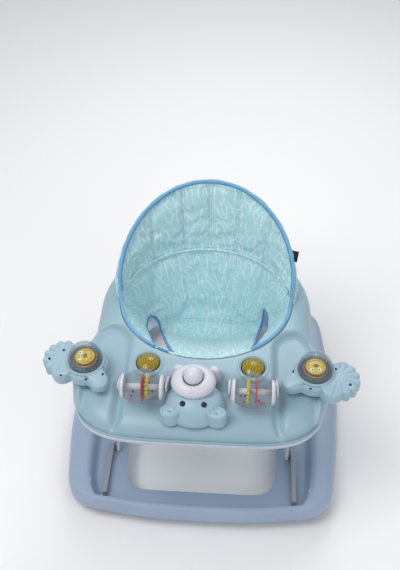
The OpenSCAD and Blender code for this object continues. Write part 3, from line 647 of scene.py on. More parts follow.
levels = 1 - (1 - np.linspace(0, 1, 41)) ** 1.7
edge_low = TRAY_Z - EDGE_FALL - SKIRT_H
loops = [at(a, TRAY_Z - 0.018), at(a, TRAY_Z - 0.007), at(a + 0.0004, TRAY_Z - 0.0035),
         at(a + 0.0015, TRAY_Z - 0.0012)]
loops += [on_tray(s) for s in levels]
loops += [at(b + 0.0006, TRAY_Z - EDGE_FALL - 0.002), at(b + 0.001, edge_low + 0.001), at(b + 0.0004, edge_low),
          at(b - WALL, edge_low),
          at(b - WALL - 0.0005, TRAY_Z - EDGE_FALL - WALL)]
loops += [on_tray(s, WALL) for s in levels[-2:0:-2]]
loops += [at(a + WALL, TRAY_Z - 0.008), at(a + WALL, TRAY_Z - 0.018)]
tray = loft("tray shell", loops, "tray_blue", ring=True)
cut(tray, [round_cutter(s * BUTTON_X, BUTTON_Y, 0.37, 0.43, BUTTON_R + 0.004) for s in (-1, 1)])
ride(tray, "tray", ["tray_top"])

outer = b + 0.002
low_b = edge_low - 0.0003
loops = [at(a + 0.005, UNDER_Z - WALL), at(a + 0.005, UNDER_Z), at(b - 0.007, UNDER_Z), at(b - 0.007, low_b),
         at(outer - 0.001, low_b)]
loops += [at(outer - 0.006 * s ** 3, low_b - (low_b - UNDER_Z + UNDER_H) * s) for s in np.linspace(0.05, 1, 8)]
loops += [at(b - 0.008, UNDER_Z - UNDER_H), at(b - 0.010, UNDER_Z - WALL)]
under = loft("lower tray shell", loops, "shell_white", ring=True)
cut(under, [round_cutter(s * BUTTON_X, BUTTON_Y, 0.34, 0.38, BUTTON_R + 0.004) for s in (-1, 1)])
ride(under, "tray", ["tray_under"])
print("tray shell faces:", len(tray.data.polygons))

# %% [markdown]
# ## The base
# A flat deck, a raised rim with a bulge over each wheel, and a skirt.

# %% Base shell
phi_b = turns(480)
f, g, o = foot_r(phi_b), deck_r(phi_b), base_r(phi_b)
width = o - g - 0.016


def crown(s):
    return SKIRT_Z + 0.014 + (BASE_Z - SKIRT_Z - 0.014) * np.sqrt(max(0, 1 - (2 * s - 1) ** 4))


def on_base(s, extra=0.010, drop=0.0, least=DECK_Z + 0.010):
    r = g + extra + width * s + (0.016 - extra) * s
    return at(r, max(least, crown(s * 0.96 + 0.02)) - drop, phi_b, 0)


loops = [at(f, DECK_Z - WALL, phi_b, 0), at(f, DECK_Z - 0.0005, phi_b, 0), at(f + 0.0008, DECK_Z, phi_b, 0),
         at(g - 0.003, DECK_Z, phi_b, 0),
         at(g + 0.001, DECK_Z + 0.001, phi_b, 0), at(g + 0.006, DECK_Z + 0.006, phi_b, 0)]
loops += [on_base(s) for s in np.linspace(0, 1, 25)]
loops += [at(o, SKIRT_Z + 0.012, phi_b, 0), at(o, SKIRT_Z + 0.0008, phi_b, 0), at(o - 0.0008, SKIRT_Z, phi_b, 0),
          at(o - WALL, SKIRT_Z, phi_b, 0),
          at(o - WALL, SKIRT_Z + 0.012, phi_b, 0)]
loops += [at(g + 0.013 + (width - 0.002) * s + 0.002 * s, max(DECK_Z + 0.007, crown(s * 0.96 + 0.02) - WALL), phi_b,
             0)
          for s in np.linspace(1, 0, 9)]
loops += [at(g + WALL, DECK_Z - WALL, phi_b, 0)]
base = loft("base shell", loops, "base_blue", ring=True)
ride(base, "base", ["base_shell"])
print("base shell faces:", len(base.data.polygons))

# %% [markdown]
# ## The padded seat
# The back and the sling start as flat-sided shells of two layers. A short cloth simulation then inflates them between
# their pinned seams, as stuffing does, and leaves the wrinkles of real fabric.

# %% Inflate a padded shell
def inflate(piece, pinned, pressure=4.0, extra=0.04, cap=0.010, frames=20, seed=3):
    """Cloth simulation with pressure inside. pinned is the weight of each point, extra the share of spare fabric."""
    rest = np.array([v.co for v in piece.data.vertices])
    group = piece.vertex_groups.new(name="pin")
    for weight in sorted(set(np.round(pinned, 1))):
        if weight > 0:
            group.add(np.nonzero(np.round(pinned, 1) == weight)[0].tolist(), float(weight), "REPLACE")
    cloth_sim = piece.modifiers.new("cloth", "CLOTH")
    settings = cloth_sim.settings
    settings.quality = 6
    settings.mass = 0.15
    settings.tension_stiffness = settings.compression_stiffness = 20
    settings.shear_stiffness = 10
    settings.bending_stiffness = 0.6
    settings.shrink_min = -extra
    settings.use_pressure = True
    settings.uniform_pressure_force = pressure
    settings.vertex_group_mass = "pin"
    settings.effector_weights.gravity = 0
    cloth_sim.collision_settings.use_collision = False
    cloth_sim.point_cache.frame_start = 1
    cloth_sim.point_cache.frame_end = frames
    scene = bpy.context.scene
    for number in range(1, frames + 1):
        scene.frame_set(number)
    moved = piece.evaluated_get(bpy.context.evaluated_depsgraph_get())
    ended = np.array([v.co for v in moved.data.vertices])
    piece.modifiers.remove(cloth_sim)
    scene.frame_set(1)
    shift = ended - rest
    far = np.linalg.norm(shift, axis=1)
    shift *= np.minimum(1, cap / np.maximum(far, 1e-9))[:, None]
    piece.data.vertices.foreach_set("co", (rest + shift).astype(np.float32).ravel())
    print(piece.name, "moved by up to", round(float(far.max()) * 1000, 1), "mm")
    piece.vertex_groups.clear()
    subdivide(piece)
    return piece


def subdivide(piece):
    fine_mod = piece.modifiers.new("fine", "SUBSURF")
    fine_mod.levels = 1
    bpy.context.view_layer.objects.active = piece
    bpy.ops.object.modifier_apply(modifier=fine_mod.name)
    piece.data.shade_smooth()


def near_seam(t, seams, width):
    """1 on a seam, 0 further than width from it."""
    return np.max([1 - smooth(np.abs(t - s) / width) for s in seams], 0)


# %% The high back
SEAMS = np.radians([47, 71, 90, 108, 133])
across_n, up_n = 150, 30
t_back = np.linspace(BACK_FROM, np.pi - BACK_FROM, across_n)
part = np.linspace(0, 1, up_n)
T, P = np.meshgrid(t_back, np.concatenate([part, part[::-1]]), indexing="ij")
side_sign = np.where(np.arange(2 * up_n) < up_n, -1.0, 1.0)[None, :]
plump = 0.42 + 0.58 * np.sin(np.pi * np.clip(P, 0, 1)) ** 0.6
plump = plump * (1 - 0.62 * near_seam(T, SEAMS, math.radians(3.4))) * np.where(P > 0.97, 0.35, 1)
tucks = 0.0022 * np.sin(P * 26 + T * 5) * (1 - smooth((np.degrees(np.minimum(T, np.pi - T)) - 18) / 22))
back_points = back_point(T, P, side_sign * BACK_T / 2 * plump + tucks)
print_at = np.stack([T * 0.19, BACK_H * P * np.maximum(0.25, np.sin(T))], -1)
back_pad = loft("padded back", back_points, "seat_fabric", flat=print_at.reshape(-1, 2))
pin_at = np.clip(near_seam(T, SEAMS, math.radians(1.3)) + (P < 0.03) + (P > 0.97), 0, 1)
inflate(back_pad, pin_at.ravel(), cap=0.006, extra=0.05)
ride(back_pad, "tray", ["seat_back", "back_wire"])

# %% The sling with its leg holes
# Each hole's corner points are an angle around the opening, in degrees, and a share of the sling's height.
HOLE_LEFT = [(238, .985), (231, .82), (223, .63), (212, .45), (197, .31), (182, .255), (171, .25), (163, .235),
             (158, .17), (159, .10), (164, .045), (174, .018), (190, .010), (209, .045), (222, .18), (232, .36),
             (240, .59), (247, .84), (250, .985)]
HOLE_RIGHT = [(-55, .985), (-52, .80), (-47, .60), (-41, .38), (-30, .17), (-16, .07), (-3, .05), (8, .08),
              (15, .125), (22, .21), (27, .30), (30, .375), (26, .385), (17, .33), (7, .27), (-7, .26),
              (-21, .33), (-33, .46), (-42, .62), (-48, .80), (-51, .94)]
METRIC = np.array([0.0026, 0.19])  # metres per degree around and per whole height


def closed_curve(points, n=240):
    """A smooth closed curve through points."""
    points = np.array(points, float)
    count = len(points)
    where = np.linspace(0, count, n, endpoint=False)
    k = where.astype(int)
    u = (where - k)[:, None]
    p0, p1, p2, p3 = (points[(k + d) % count] for d in (-1, 0, 1, 2))
    return 0.5 * (2 * p1 + (p2 - p0) * u + (2 * p0 - 5 * p1 + 4 * p2 - p3) * u ** 2
                  + (3 * p1 - p0 - 3 * p2 + p3) * u ** 3)


def inside(points, loop):
    """Which points lie inside a closed line."""
    x, y = points[..., :1], points[..., 1:]
    x0, y0 = loop[:, 0], loop[:, 1]
    x1, y1 = np.roll(x0, -1), np.roll(y0, -1)
    crossing = ((y0 > y) != (y1 > y)) & (x < (x1 - x0) * (y - y0) / (y1 - y0 + 1e-12) + x0)
    return crossing.sum(-1) % 2 == 1


holes = [closed_curve(HOLE_LEFT), closed_curve(HOLE_RIGHT)]
round_n, rings, floor_rings = 216, 44, 12
deg = np.arange(round_n) * 360 / round_n
v_rows = np.linspace(0, 1, rings)
grid = np.stack(np.meshgrid(deg, v_rows, indexing="xy"), -1)
wrapped = np.where(grid[..., :1] > 270, grid[..., :1] - 360, grid[..., :1])
flat_grid = [grid, np.concatenate([wrapped, grid[..., 1:]], -1)]
removed = np.zeros((rings - 1, round_n), bool)
for own, hole in zip(flat_grid, holes):
    removed |= inside(own[:-1] + np.array([180 / round_n, 0.5 / (rings - 1)]), hole)
edge_point = np.zeros((rings, round_n), bool)
for i in range(rings):
    for j in range(round_n):
        around = [removed[r, c % round_n] for r in (i - 1, i) if 0 <= r < rings - 1 for c in (j - 1, j)]
        if any(around) and not all(around):
            edge_point[i, j] = True
            gaps = [(np.linalg.norm((h - own[i, j]) * METRIC, axis=1), h) for own, h in zip(flat_grid, holes)]
            gap, hole = min(gaps, key=lambda pair: pair[0].min())
            grid[i, j] = hole[np.argmin(gap)]
t_grid, v_grid = np.radians(grid[..., 0]), grid[..., 1]
wall_points = sling_point(t_grid, v_grid)
share = np.linspace(0.04, 0.97, floor_rings)[:, None]
ring0 = sling_point(np.radians(deg), np.zeros(round_n))
middle = ring0.mean(0)
floor_points = middle + (ring0 - middle)[None] * share[..., None]
floor_points[..., 2] -= 0.004 * (1 - share ** 2)
surface = np.concatenate([floor_points, wall_points])
ahead = np.roll(surface, -1, 1) - np.roll(surface, 1, 1)
normal = np.cross(ahead, np.gradient(surface, axis=0))
normal /= np.maximum(np.linalg.norm(normal, axis=2), 1e-9)[..., None]
height, around_n = surface.shape[:2]
layers = np.concatenate([surface + 0.0022 * normal, surface - 0.0022 * normal]).reshape(-1, 3)
kept = np.vstack([np.ones((floor_rings, round_n), bool), ~removed])
index = np.arange(height * around_n).reshape(height, around_n)
faces, edges = [], {}
for i in range(height - 1):
    for j in range(around_n):
        if kept[i, j]:
            quad = [index[i, j], index[i, (j + 1) % around_n], index[i + 1, (j + 1) % around_n], index[i + 1, j]]
            faces.append(quad)
            for e in range(4):
                pair = (quad[e], quad[(e + 1) % 4])
                edges[pair] = edges.get(pair, 0) + 1
shift = height * around_n
rim_edges = [pair for pair in edges if (pair[1], pair[0]) not in edges]
for j in range(around_n // 2 - 1):
    faces.append([index[0, j + 1], index[0, j], index[0, -1 - j], index[0, -2 - j]])
all_faces = faces + [[k + shift for k in q][::-1] for q in faces]
all_faces += [[q, p, p + shift, q + shift] for p, q in rim_edges if not (p < around_n and q < around_n)]
t_all = np.concatenate([np.repeat(np.radians(deg)[None], floor_rings, 0), t_grid])
v_all = np.concatenate([np.zeros((floor_rings, round_n)), v_grid])
front_part = np.sin(t_all) < -0.35
floor_part = np.arange(height)[:, None] < floor_rings
turned_t = np.where(t_all > 4.8, t_all - 2 * np.pi, t_all)
u_print = np.where(floor_part | front_part, surface[..., 0] + 0.31, turned_t * 0.19)
v_print = np.where(floor_part, surface[..., 1] - 0.3, surface[..., 2] - TRAY_Z)
flat_print = np.stack([u_print, v_print], -1).reshape(-1, 2)
used = np.unique([k for f in all_faces for k in f])
renumber = np.full(2 * shift, -1)
renumber[used] = np.arange(len(used))
sling = build("seat sling", layers[used], [[renumber[k] for k in f] for f in all_faces], "seat_fabric",
              flat=np.vstack([flat_print] * 2)[used])
near_edge = np.zeros((height, around_n))
near_edge[floor_rings:][edge_point] = 1
near_edge[-1] = near_edge[-2] = 1
row_seam = (np.abs(v_all - 0.05) < 0.012) & (np.sin(t_all) > 0.3)
seam_line = (near_seam(t_all, SEAMS[1:4], math.radians(2.0)) > 0.2) & (v_all > 0.35)
pin_sling = np.clip(near_edge + row_seam + seam_line + (floor_part & (np.arange(height)[:, None] < 2)), 0, 1)
inflate(sling, np.tile(pin_sling.ravel(), 2)[used], cap=0.006, extra=0.03)
ride(sling, "tray", ["seat_bucket"])
print("sling faces:", len(sling.data.polygons))

# %% [markdown]
# ## Bindings and stitches
# Tape bindings run along every edge of the fabric. Stitches are made by Geometry Nodes: one thread loop is repeated
# along each seam at an even distance.

# %% Bindings
def binding(name, path, radius, material, closed=False, seed=1, step=0.004):
    piece = tube(name, resample(path, step, closed), radius, material, closed=closed, wobble=0.10, seed=seed)
    ride(piece, "tray")
    return piece


def on_rim(start, end, n, inset, lift):
    """A line along the seat opening from one angle to another, in degrees."""
    t = np.radians(np.linspace(start, end, n))
    return np.stack([(OPEN_A - inset) * np.cos(t), OPEN_Y + (OPEN_B - inset) * np.sin(t),
                     np.full(n, TRAY_Z + lift)], -1)


edge_t = np.linspace(BACK_FROM, np.pi - BACK_FROM, 160)
top_edge = back_point(edge_t, np.ones(160), 0.0)
whole_edge = np.vstack([on_rim(-56, -4, 60, 0.0025, 0.001), top_edge[2:-2], on_rim(184, 238, 60, 0.0025, 0.001)])
binding("back edge binding", whole_edge, 0.0042, "binding", seed=2)
cord_line = top_edge - np.stack([np.cos(edge_t), np.sin(edge_t), 0.35 + 0 * edge_t], -1) * 0.0046
binding("back edge cord", cord_line[3:-3], 0.0012, "leg_binding", seed=3, step=0.003)
binding("front hem", on_rim(236, 306, 90, 0.0030, -0.0025), 0.0022, "seat_fabric", seed=4)
binding("crease roll", on_rim(10, 170, 160, 0.0050, 0.0005), 0.0034, "seat_fabric", seed=5)
for side, hole in zip(("left", "right"), holes):
    hole_path = sling_point(np.radians(hole[:, 0]), hole[:, 1])
    binding("leg hole binding " + side, hole_path, 0.0034, "leg_binding", closed=True, seed=5)


# %% Stitch nodes
def node_group(name, sockets):
    tree = bpy.data.node_groups.new(name, "GeometryNodeTree")
    tree.interface.new_socket("Geometry", in_out="INPUT", socket_type="NodeSocketGeometry")
    for label, kind in sockets:
        tree.interface.new_socket(label, in_out="INPUT", socket_type="NodeSocket" + kind)
    tree.interface.new_socket("Geometry", in_out="OUTPUT", socket_type="NodeSocketGeometry")
    return tree, tree.nodes.new("NodeGroupInput").outputs, tree.nodes.new("NodeGroupOutput").inputs


STITCH, given, out = node_group("Stitches",
                                [("Spacing", "Float"), ("Length", "Float"), ("Radius", "Float"),
                                 ("Thread", "Material")])
line = feed(STITCH, add(STITCH, "GeometryNodeMeshToCurve"), Mesh=given["Geometry"])
even = feed(STITCH, add(STITCH, "GeometryNodeResampleCurve", mode="LENGTH"), Curve=line.outputs[0],
            Length=given["Spacing"])
ball = add(STITCH, "GeometryNodeMeshUVSphere")
feed(STITCH, ball, Segments=8, Rings=6, Radius=1.0)
size = feed(STITCH, add(STITCH, "ShaderNodeCombineXYZ"), X=given["Radius"], Y=given["Radius"],
            Z=calc(STITCH, "MULTIPLY", given["Length"], 0.5))
turn = add(STITCH, "FunctionNodeAlignRotationToVector", axis="Z")
feed(STITCH, turn, Vector=add(STITCH, "GeometryNodeInputTangent").outputs[0])
spread = add(STITCH, "GeometryNodeInstanceOnPoints")
feed(STITCH, spread, Points=even.outputs[0], Instance=ball.outputs[0], Rotation=turn.outputs[0],
     Scale=size.outputs[0])
real = feed(STITCH, add(STITCH, "GeometryNodeRealizeInstances"), Geometry=spread.outputs[0])
coloured = feed(STITCH, add(STITCH, "GeometryNodeSetMaterial"), Geometry=real.outputs[0], Material=given["Thread"])
STITCH.links.new(coloured.outputs[0], out["Geometry"])


def run_nodes(name, source, tree, **values):
    """Runs a Geometry Nodes group on a mesh and returns the result as a plain mesh object."""
    modifier = source.modifiers.new("nodes", "NODES")
    modifier.node_group = tree
    for label, value in values.items():
        modifier[tree.interface.items_tree[label].identifier] = value
    source.update_tag()
    bpy.context.view_layer.update()
    mesh = bpy.data.meshes.new_from_object(source.evaluated_get(bpy.context.evaluated_depsgraph_get()))
    piece = bpy.data.objects.new(piece_name(name), mesh)
    bpy.context.collection.objects.link(piece)
    bpy.data.objects.remove(source)
    return piece


def lines_mesh(paths):
    points, edges = [], []
    for path in paths:
        first = len(points)
        points += [tuple(p) for p in path]
        edges += [(k, k + 1) for k in range(first, len(points) - 1)]
    mesh = bpy.data.meshes.new("lines")
    mesh.from_pydata(points, edges, [])
    source = bpy.data.objects.new("lines", mesh)
    bpy.context.collection.objects.link(source)
    return source


def onto(piece, path, lift):
    """Moves points to the nearest place on a mesh, then lifts them off it."""
    made = []
    for p in path:
        found, spot, direction, _ = piece.closest_point_on_mesh(Vector(p))
        made.append(spot + direction * lift if found else Vector(p))
    return made


seam_paths = []
for seam in SEAMS:
    for offset in (-0.9, 0.9):
        t = seam + math.radians(offset)
        up = np.linspace(0.04, 0.93, 60)
        for face_out in (-1, 1):
            seam_paths.append(onto(back_pad, back_point(np.full(60, t), up, face_out * BACK_T * 0.30), 0.0001))
inner_edge = back_point(edge_t[6:-6], np.full(148, 0.945), -BACK_T * 0.3)
seam_paths.append(onto(back_pad, inner_edge, 0.0001))
stitches = run_nodes("back stitches", lines_mesh(seam_paths), STITCH, Spacing=0.0036, Length=0.0026, Radius=0.00042,
                     Thread=M["thread"])
ride(stitches, "tray")
row_paths = []
for v in (0.035, 0.065):
    t = np.radians(np.linspace(28, 152, 120))
    inner = sling_point(t, np.full(120, v))
    row_paths.append(onto(sling, inner + np.stack([-np.cos(t), -np.sin(t), 0 * t], -1) * 0.004, 0.0001))
for side, hole in zip(("left", "right"), holes):
    centre = hole.mean(0)
    wide = centre + (hole - centre) * (1 + 0.007 / (np.linalg.norm((hole - centre) * METRIC, axis=1)[:, None]))
    wide = wide[(wide[:, 1] < 0.97) & (wide[:, 1] > 0.03)]
    wide = wide[6:-6]
    path = sling_point(np.radians(wide[:, 0]), wide[:, 1])
    row_paths.append(onto(sling, path + np.array([0, 0, 0.0]), 0.0001))
row_stitches = run_nodes("sling stitches", lines_mesh(row_paths), STITCH, Spacing=0.0036, Length=0.0026,
                         Radius=0.00042, Thread=M["thread"])
ride(row_stitches, "tray")
print("stitch faces:", len(stitches.data.polygons) + len(row_stitches.data.polygons))

# %% [markdown]
# ## The bear
# A domed head with ears and eyes, a raised muzzle with a press-in nose, and two paws behind.

# %% Bear
def domed(name, cx, cy, a, b, low, high, materials, power=2.4, n=96, steps=26, shape=None):
    """A closed dome over an oval. power above 2 gives fuller shoulders."""
    loops = []
    for u in np.linspace(0, np.pi / 2 * 0.97, steps):
        s = math.cos(u) ** (2 / power)
        z = low + (high - low) * (math.sin(u) ** (2 / power)) / (math.sin(np.pi / 2 * 0.97) ** (2 / power))
        loops.append(circle(cx, cy, a * s, b * s, z, n))
    if shape:
        loops = [shape(np.array(loop), k / (steps - 1)) for k, loop in enumerate(loops)]
    return loft(name, loops, materials)


def head_shape(loop, share):
    """Shallow cheeks: the head narrows a little towards its front."""
    loop[:, 0] = BEAR[0] + (loop[:, 0] - BEAR[0]) * (1 + 0.9 * (loop[:, 1] - BEAR[1]) * (1 - share))
    return loop


low_panel = TRAY_Z - 0.015
head = domed("bear head", *BEAR, 0.062, 0.050, low_panel, 0.434, "toy_blue", shape=head_shape)
ears = []
for s in (-1, 1):
    x, y = BEAR[0] + s * 0.046, BEAR[1] - 0.032
    line = rounded([(0.05, low_panel), (1, low_panel), (1, 0.417), (0.80, 0.421), (0.62, 0.416), (0.05, 0.4155)],
                   0.12, 5)
    ear = [circle(x, y, r * 0.020, r * 0.015, z, 48) for r, z in line]
    ears.append(loft("ear", ear, "toy_blue"))
head = joined("bear head", [head] + ears)
cut(head, [round_cutter(*MUZZLE, 0.419, 0.48, 0.0196)])
ride(head, "tray", ["bear_head"])
eye_line = [(0.0002, 0.001), (0.0052, 0.001), (0.0058, 0.0035), (0.0046, 0.0062), (0.0024, 0.0076), (0.0002, 0.0080)]
eyes = [place(lathe("eye", eye_line, "eye_black", 32, ring=False),
              Matrix.Translation((BEAR[0] + s * 0.021, -0.2655, 0.4262))) for s in (-1, 1)]
ride(joined("bear eyes", eyes), "tray")


def muzzle_loop(a, b, z, crease):
    """An oval with a small crease on its left side."""
    loop = circle(*MUZZLE, a, b, z, 120)
    angle = np.degrees(np.arctan2(loop[:, 1] - MUZZLE[1], loop[:, 0] - MUZZLE[0])) % 360
    pinch = 1 - crease * np.exp(-(((angle - 176) / 7) ** 2)) - crease * np.exp(-(((angle - 270) / 6) ** 2))
    loop[:, :2] = np.array(MUZZLE) + (loop[:, :2] - np.array(MUZZLE)) * pinch[:, None]
    return loop


low_m, top_m = 0.428, 0.456
profile = [(0.037, 0.032, low_m, 0), (0.043, 0.038, low_m + 0.004, .01), (0.045, 0.040, low_m + 0.010, .02),
           (0.0448, 0.0398, low_m + 0.014, .03),
           (0.043, 0.038, low_m + 0.019, .05), (0.0395, 0.0345, low_m + 0.0235, .06),
           (0.035, 0.030, low_m + 0.0262, .05),
           (0.030, 0.0265, low_m + 0.0278, .03), (0.0265, 0.0245, top_m, .01), (0.0225, 0.0215, top_m - 0.001, 0),
           (0.0200, 0.0200, top_m - 0.003, 0), (0.0197, 0.0197, top_m - 0.006, 0), (0.0197, 0.0197, low_m, 0)]
muzzle = loft("bear muzzle", [muzzle_loop(*row) for row in profile], "toy_white", ring=True)
ride(muzzle, "tray", ["bear_muzzle"])

nose = lathe("nose", [(0.0002, -0.0345), (0.0055, -0.0345), (0.0060, -0.034), (0.0060, -0.0175)]
             + [(0.019 * math.sin(u), 0.019 * math.cos(u)) for u in np.linspace(2.80, 0.012, 40)], "toy_white", 72,
             ring=False)
place(nose, Matrix.Translation((*MUZZLE, top_m + 0.003)))
ride(nose, "nose", ["bear_nose"])

paws = []
for s in (-1, 1):
    x, y = BEAR[0] + s * 0.036, -0.176
    def toes(loop, share, x=x):
        angle = np.arctan2(loop[:, 1] + 0.176, loop[:, 0] - x)
        loop[:, :2] += ((loop[:, :2]
                         - (x, -0.176)) * (0.05 * np.cos(6 * angle) * (np.sin(angle) > 0.1))[:, None]) * (1 - share)
        return loop
    paws.append(domed("paw", x, y, 0.0165, 0.0125, TRAY_Z - 0.012, 0.430, "toy_white", 3.0, 72, 20, toes))
ride(joined("bear paws", paws), "tray", ["bear_paws"])
print("bear built")

# %% [markdown]
# ## Buttons
# Each button is a translucent dome with squiggly ribs inside its skirt.

# %% Buttons
for side, s in SIDES.items():
    rise, r = 0.009, BUTTON_R
    ball_radius = (r * r + rise * rise) / (2 * rise)
    top_angle = math.asin(r / ball_radius)
    arc = [(ball_radius * math.sin(u), rise - ball_radius + ball_radius * math.cos(u))
           for u in np.linspace(top_angle, 0.004, 26)]
    dome = lathe("dome", [(0.0002, -0.003), (r - 0.001, -0.003), (r, -0.002), (r, -0.0006)] + arc, "button_yellow",
                 96, ring=False)
    ribs = []
    for k in range(-3, 4):
        x = k * 0.0062
        long = math.sqrt(max(0, (r - 0.0035) ** 2 - x * x))
        y = np.linspace(-long, long, 40)
        wave = x + 0.0016 * np.sin(y * 620 + k * 1.3)
        lift = rise - ball_radius + np.sqrt(ball_radius ** 2 - wave ** 2 - y ** 2) + 0.0001
        ribs.append(tube("rib", np.stack([wave, y, lift], -1), 0.0009, "rib_yellow", 8))
    stem = lathe("stem", [(0.005, -0.014), (0.008, -0.014), (0.008, -0.002), (0.0002, -0.002), (0.0002, -0.004),
                          (0.005, -0.004)], "rib_yellow", 48)
    button = joined("button " + side, [dome, stem] + ribs)
    place(button, Matrix.Translation((s * BUTTON_X, BUTTON_Y, BUTTON_Z)))
    ride(button, "button_" + side, ["button_" + side])
    # A coil spring sits under the button.
    coil_t = np.linspace(0, 8 * np.pi, 160)
    low, high = BUTTON_Z - 0.0315, BUTTON_Z - 0.0150
    coil_path = np.stack([s * BUTTON_X + 0.006 * np.cos(coil_t), BUTTON_Y + 0.006 * np.sin(coil_t),
                          np.linspace(low, high, 160)], -1)
    coil = tube("coil " + side, coil_path, 0.0006, "pin_steel", 10)
    ride(coil, "tray", ["button_spring_" + side])
    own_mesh(coil)
cup_r = BUTTON_R + 0.0039
cup_line = rounded([(0.0005, 0), (cup_r, 0), (cup_r, 0.033), (cup_r - 0.002, 0.033), (cup_r - 0.002, 0.012),
                    (cup_r - 0.003, 0.002), (0.004, 0.002), (0.004, 0.014), (0.0005, 0.014)], 0.0009)
cups = [place(lathe("cup", cup_line, "tray_blue", 96),
              Matrix.Translation((s * BUTTON_X, BUTTON_Y, BUTTON_Z - 0.034))) for s in (-1, 1)]
lips = []
for s in (-1, 1):
    lip = lathe("lip", rounded([(0.0276, -0.004), (0.0276, 0.0016), (0.0300, 0.0022), (0.0335, 0.0010),
                                (0.0352, -0.003)], 0.0010), "tray_blue", 96)
    lips.append(place(lip, Matrix.Translation((s * BUTTON_X, BUTTON_Y, TRAY_Z))))
ride(joined("button cups", cups + lips), "tray", ["button_cups"])

# %% [markdown]
# ## Rattles
# Clear barrels with a raised seam, white end caps, two discs on a sleeve, and loose beads.

# %% Rattles
for side, s in SIDES.items():
    turned_x = Matrix.Translation((s * RATTLE_X, RATTLE_Y, RATTLE_Z)) @ Matrix.Rotation(math.pi / 2 * s, 4, "Y")
    half, r = RATTLE_L / 2 - 0.008, RATTLE_R
    def barrel(z):
        return r * (0.955 - 0.345 * (abs(z) / half) ** 1.7)
    seam = [(barrel(0) + 0.0008, -0.0036), (r - 0.0006, -0.0028), (r, -0.0018)]
    out_line = [(barrel(z), z) for z in np.linspace(-half, -0.0042, 14)] + seam
    out_line += [(wide, -z) for wide, z in seam[::-1]] + [(barrel(z), z) for z in np.linspace(0.0042, half, 14)]
    in_line = [(barrel(z) - 0.0018, z) for z in np.linspace(half, -half, 26)]
    shell = place(lathe("rattle shell " + side, out_line + in_line, "clear_plastic", 96), turned_x)
    ride(shell, "rattle_" + side, ["rattle_shell_" + side])
    half = RATTLE_L / 2
    cap_line = rounded([(0.00305, half - 0.0085), (r * 0.60 + 0.002, half - 0.0085),
                        (r * 0.60 + 0.002, half - 0.0035), (r * 0.52, half - 0.0008),
                        (r * 0.44, half), (r * 0.30, half - 0.0002), (r * 0.22, half - 0.0016),
                        (0.00305, half - 0.0016)], 0.0012, 4)
    caps = [lathe("cap", cap_line, "toy_white", 96), lathe("cap", [(p, -z) for p, z in cap_line], "toy_white", 96)]
    ride(place(joined("rattle caps " + side, caps), turned_x), "rattle_" + side,
         ["rattle_caps_" + side])
    wide = r - 0.008
    discs = [lathe("sleeve", [(0.00305, 0.008 - half), (0.006, 0.008 - half), (0.006, half - 0.008),
                              (0.00305, half - 0.008)], "toy_white", 40)]
    red_z, yellow_z = (-0.001, -0.010) if s < 0 else (0.006, -0.010)
    disc_line = rounded([(0.0061, -0.0015), (wide, -0.0015), (wide, 0.0015), (0.0061, 0.0015)], 0.0012, 4)
    discs.append(lathe("red disc", [(p, z + red_z) for p, z in disc_line], "bead_red", 120))
    plate = [(0.0061, -0.0008), (0.018, -0.0008), (0.018, 0.0008), (0.0061, 0.0008)]
    discs.append(lathe("bead plate", [(p, z + yellow_z) for p, z in plate], "disc_yellow", 96))
    for k in range(16):
        bead = lathe("bead", [(0.0042 * math.sin(u), 0.0042 * math.cos(u)) for u in np.linspace(3.1, 0.04, 14)],
                     "disc_yellow", 24, ring=False)
        angle = k * math.pi / 8
        discs.append(place(bead, Matrix.Translation((0.0205 * math.cos(angle), 0.0205 * math.sin(angle),
                                                     yellow_z))))
    rng = np.random.default_rng(11 + s)
    for k in range(6):
        along = rng.uniform(0.012, 0.026) * (1 if k % 2 else -1)
        across = rng.uniform(-0.010, 0.010)
        low_at = -s * math.sqrt((barrel(along) - 0.0018 - 0.0026) ** 2 - across ** 2)
        bead = lathe("loose bead",
                     [(0.0025 * math.sin(u), 0.0025 * math.cos(u)) for u in np.linspace(3.08, 0.06, 10)],
                     "bead_red", 16, ring=False)
        discs.append(place(bead, Matrix.Translation((-low_at, across, along))))
    ride(place(joined("rattle discs " + side, discs), turned_x), "rattle_" + side,
         ["rattle_discs_" + side])

# %% Rattle brackets
plates = []
for s in (-1, 1):
    for x0 in (RATTLE_X - RATTLE_L / 2 - 0.0055, RATTLE_X + RATTLE_L / 2 + 0.0015):
        outline = []
        for cy, cz, r, start, end in ((RATTLE_Y, RATTLE_Z, 0.008, 1.1, 4.4),
                                      (-0.194, RATTLE_Z - 0.012, 0.012, -0.9, 1.1)):
            if cy == RATTLE_Y:
                outline += [(cy + r * math.cos(u), cz + r * math.sin(u)) for u in np.linspace(start, end, 24)]
                outline += [(-0.206, TRAY_Z - 0.015), (-0.182, TRAY_Z - 0.015)]
            else:
                outline += [(cy + r * math.cos(u), cz + r * math.sin(u)) for u in np.linspace(-0.2, start, 20)]
        outline = np.array(outline)
        middle = outline.mean(0)
        layers_x = []
        for x, scale in ((0, 0.93), (0.0004, 0.985), (0.0012, 1), (0.0028, 1), (0.0036, 0.985), (0.004, 0.93)):
            ring_yz = middle + (outline - middle) * scale
            layers_x.append(np.stack([np.full(len(outline), s * (x0 + x)), ring_yz[:, 0], ring_yz[:, 1]], -1))
        plates.append(loft("plate", layers_x, "toy_white"))
brackets = joined("rattle brackets", plates)
ride(brackets, "tray", ["rattle_brackets"])
print("rattles built")

# %% [markdown]
# ## Spinner arms
# Each arm is a collar around a clear ball, with a scalloped crown outboard and a rounded tail. Its outline is measured
# as a distance from the ball in every direction.

# %% Arm shells
CROWN, CROWN_R = (-0.049, 0.0), 0.036


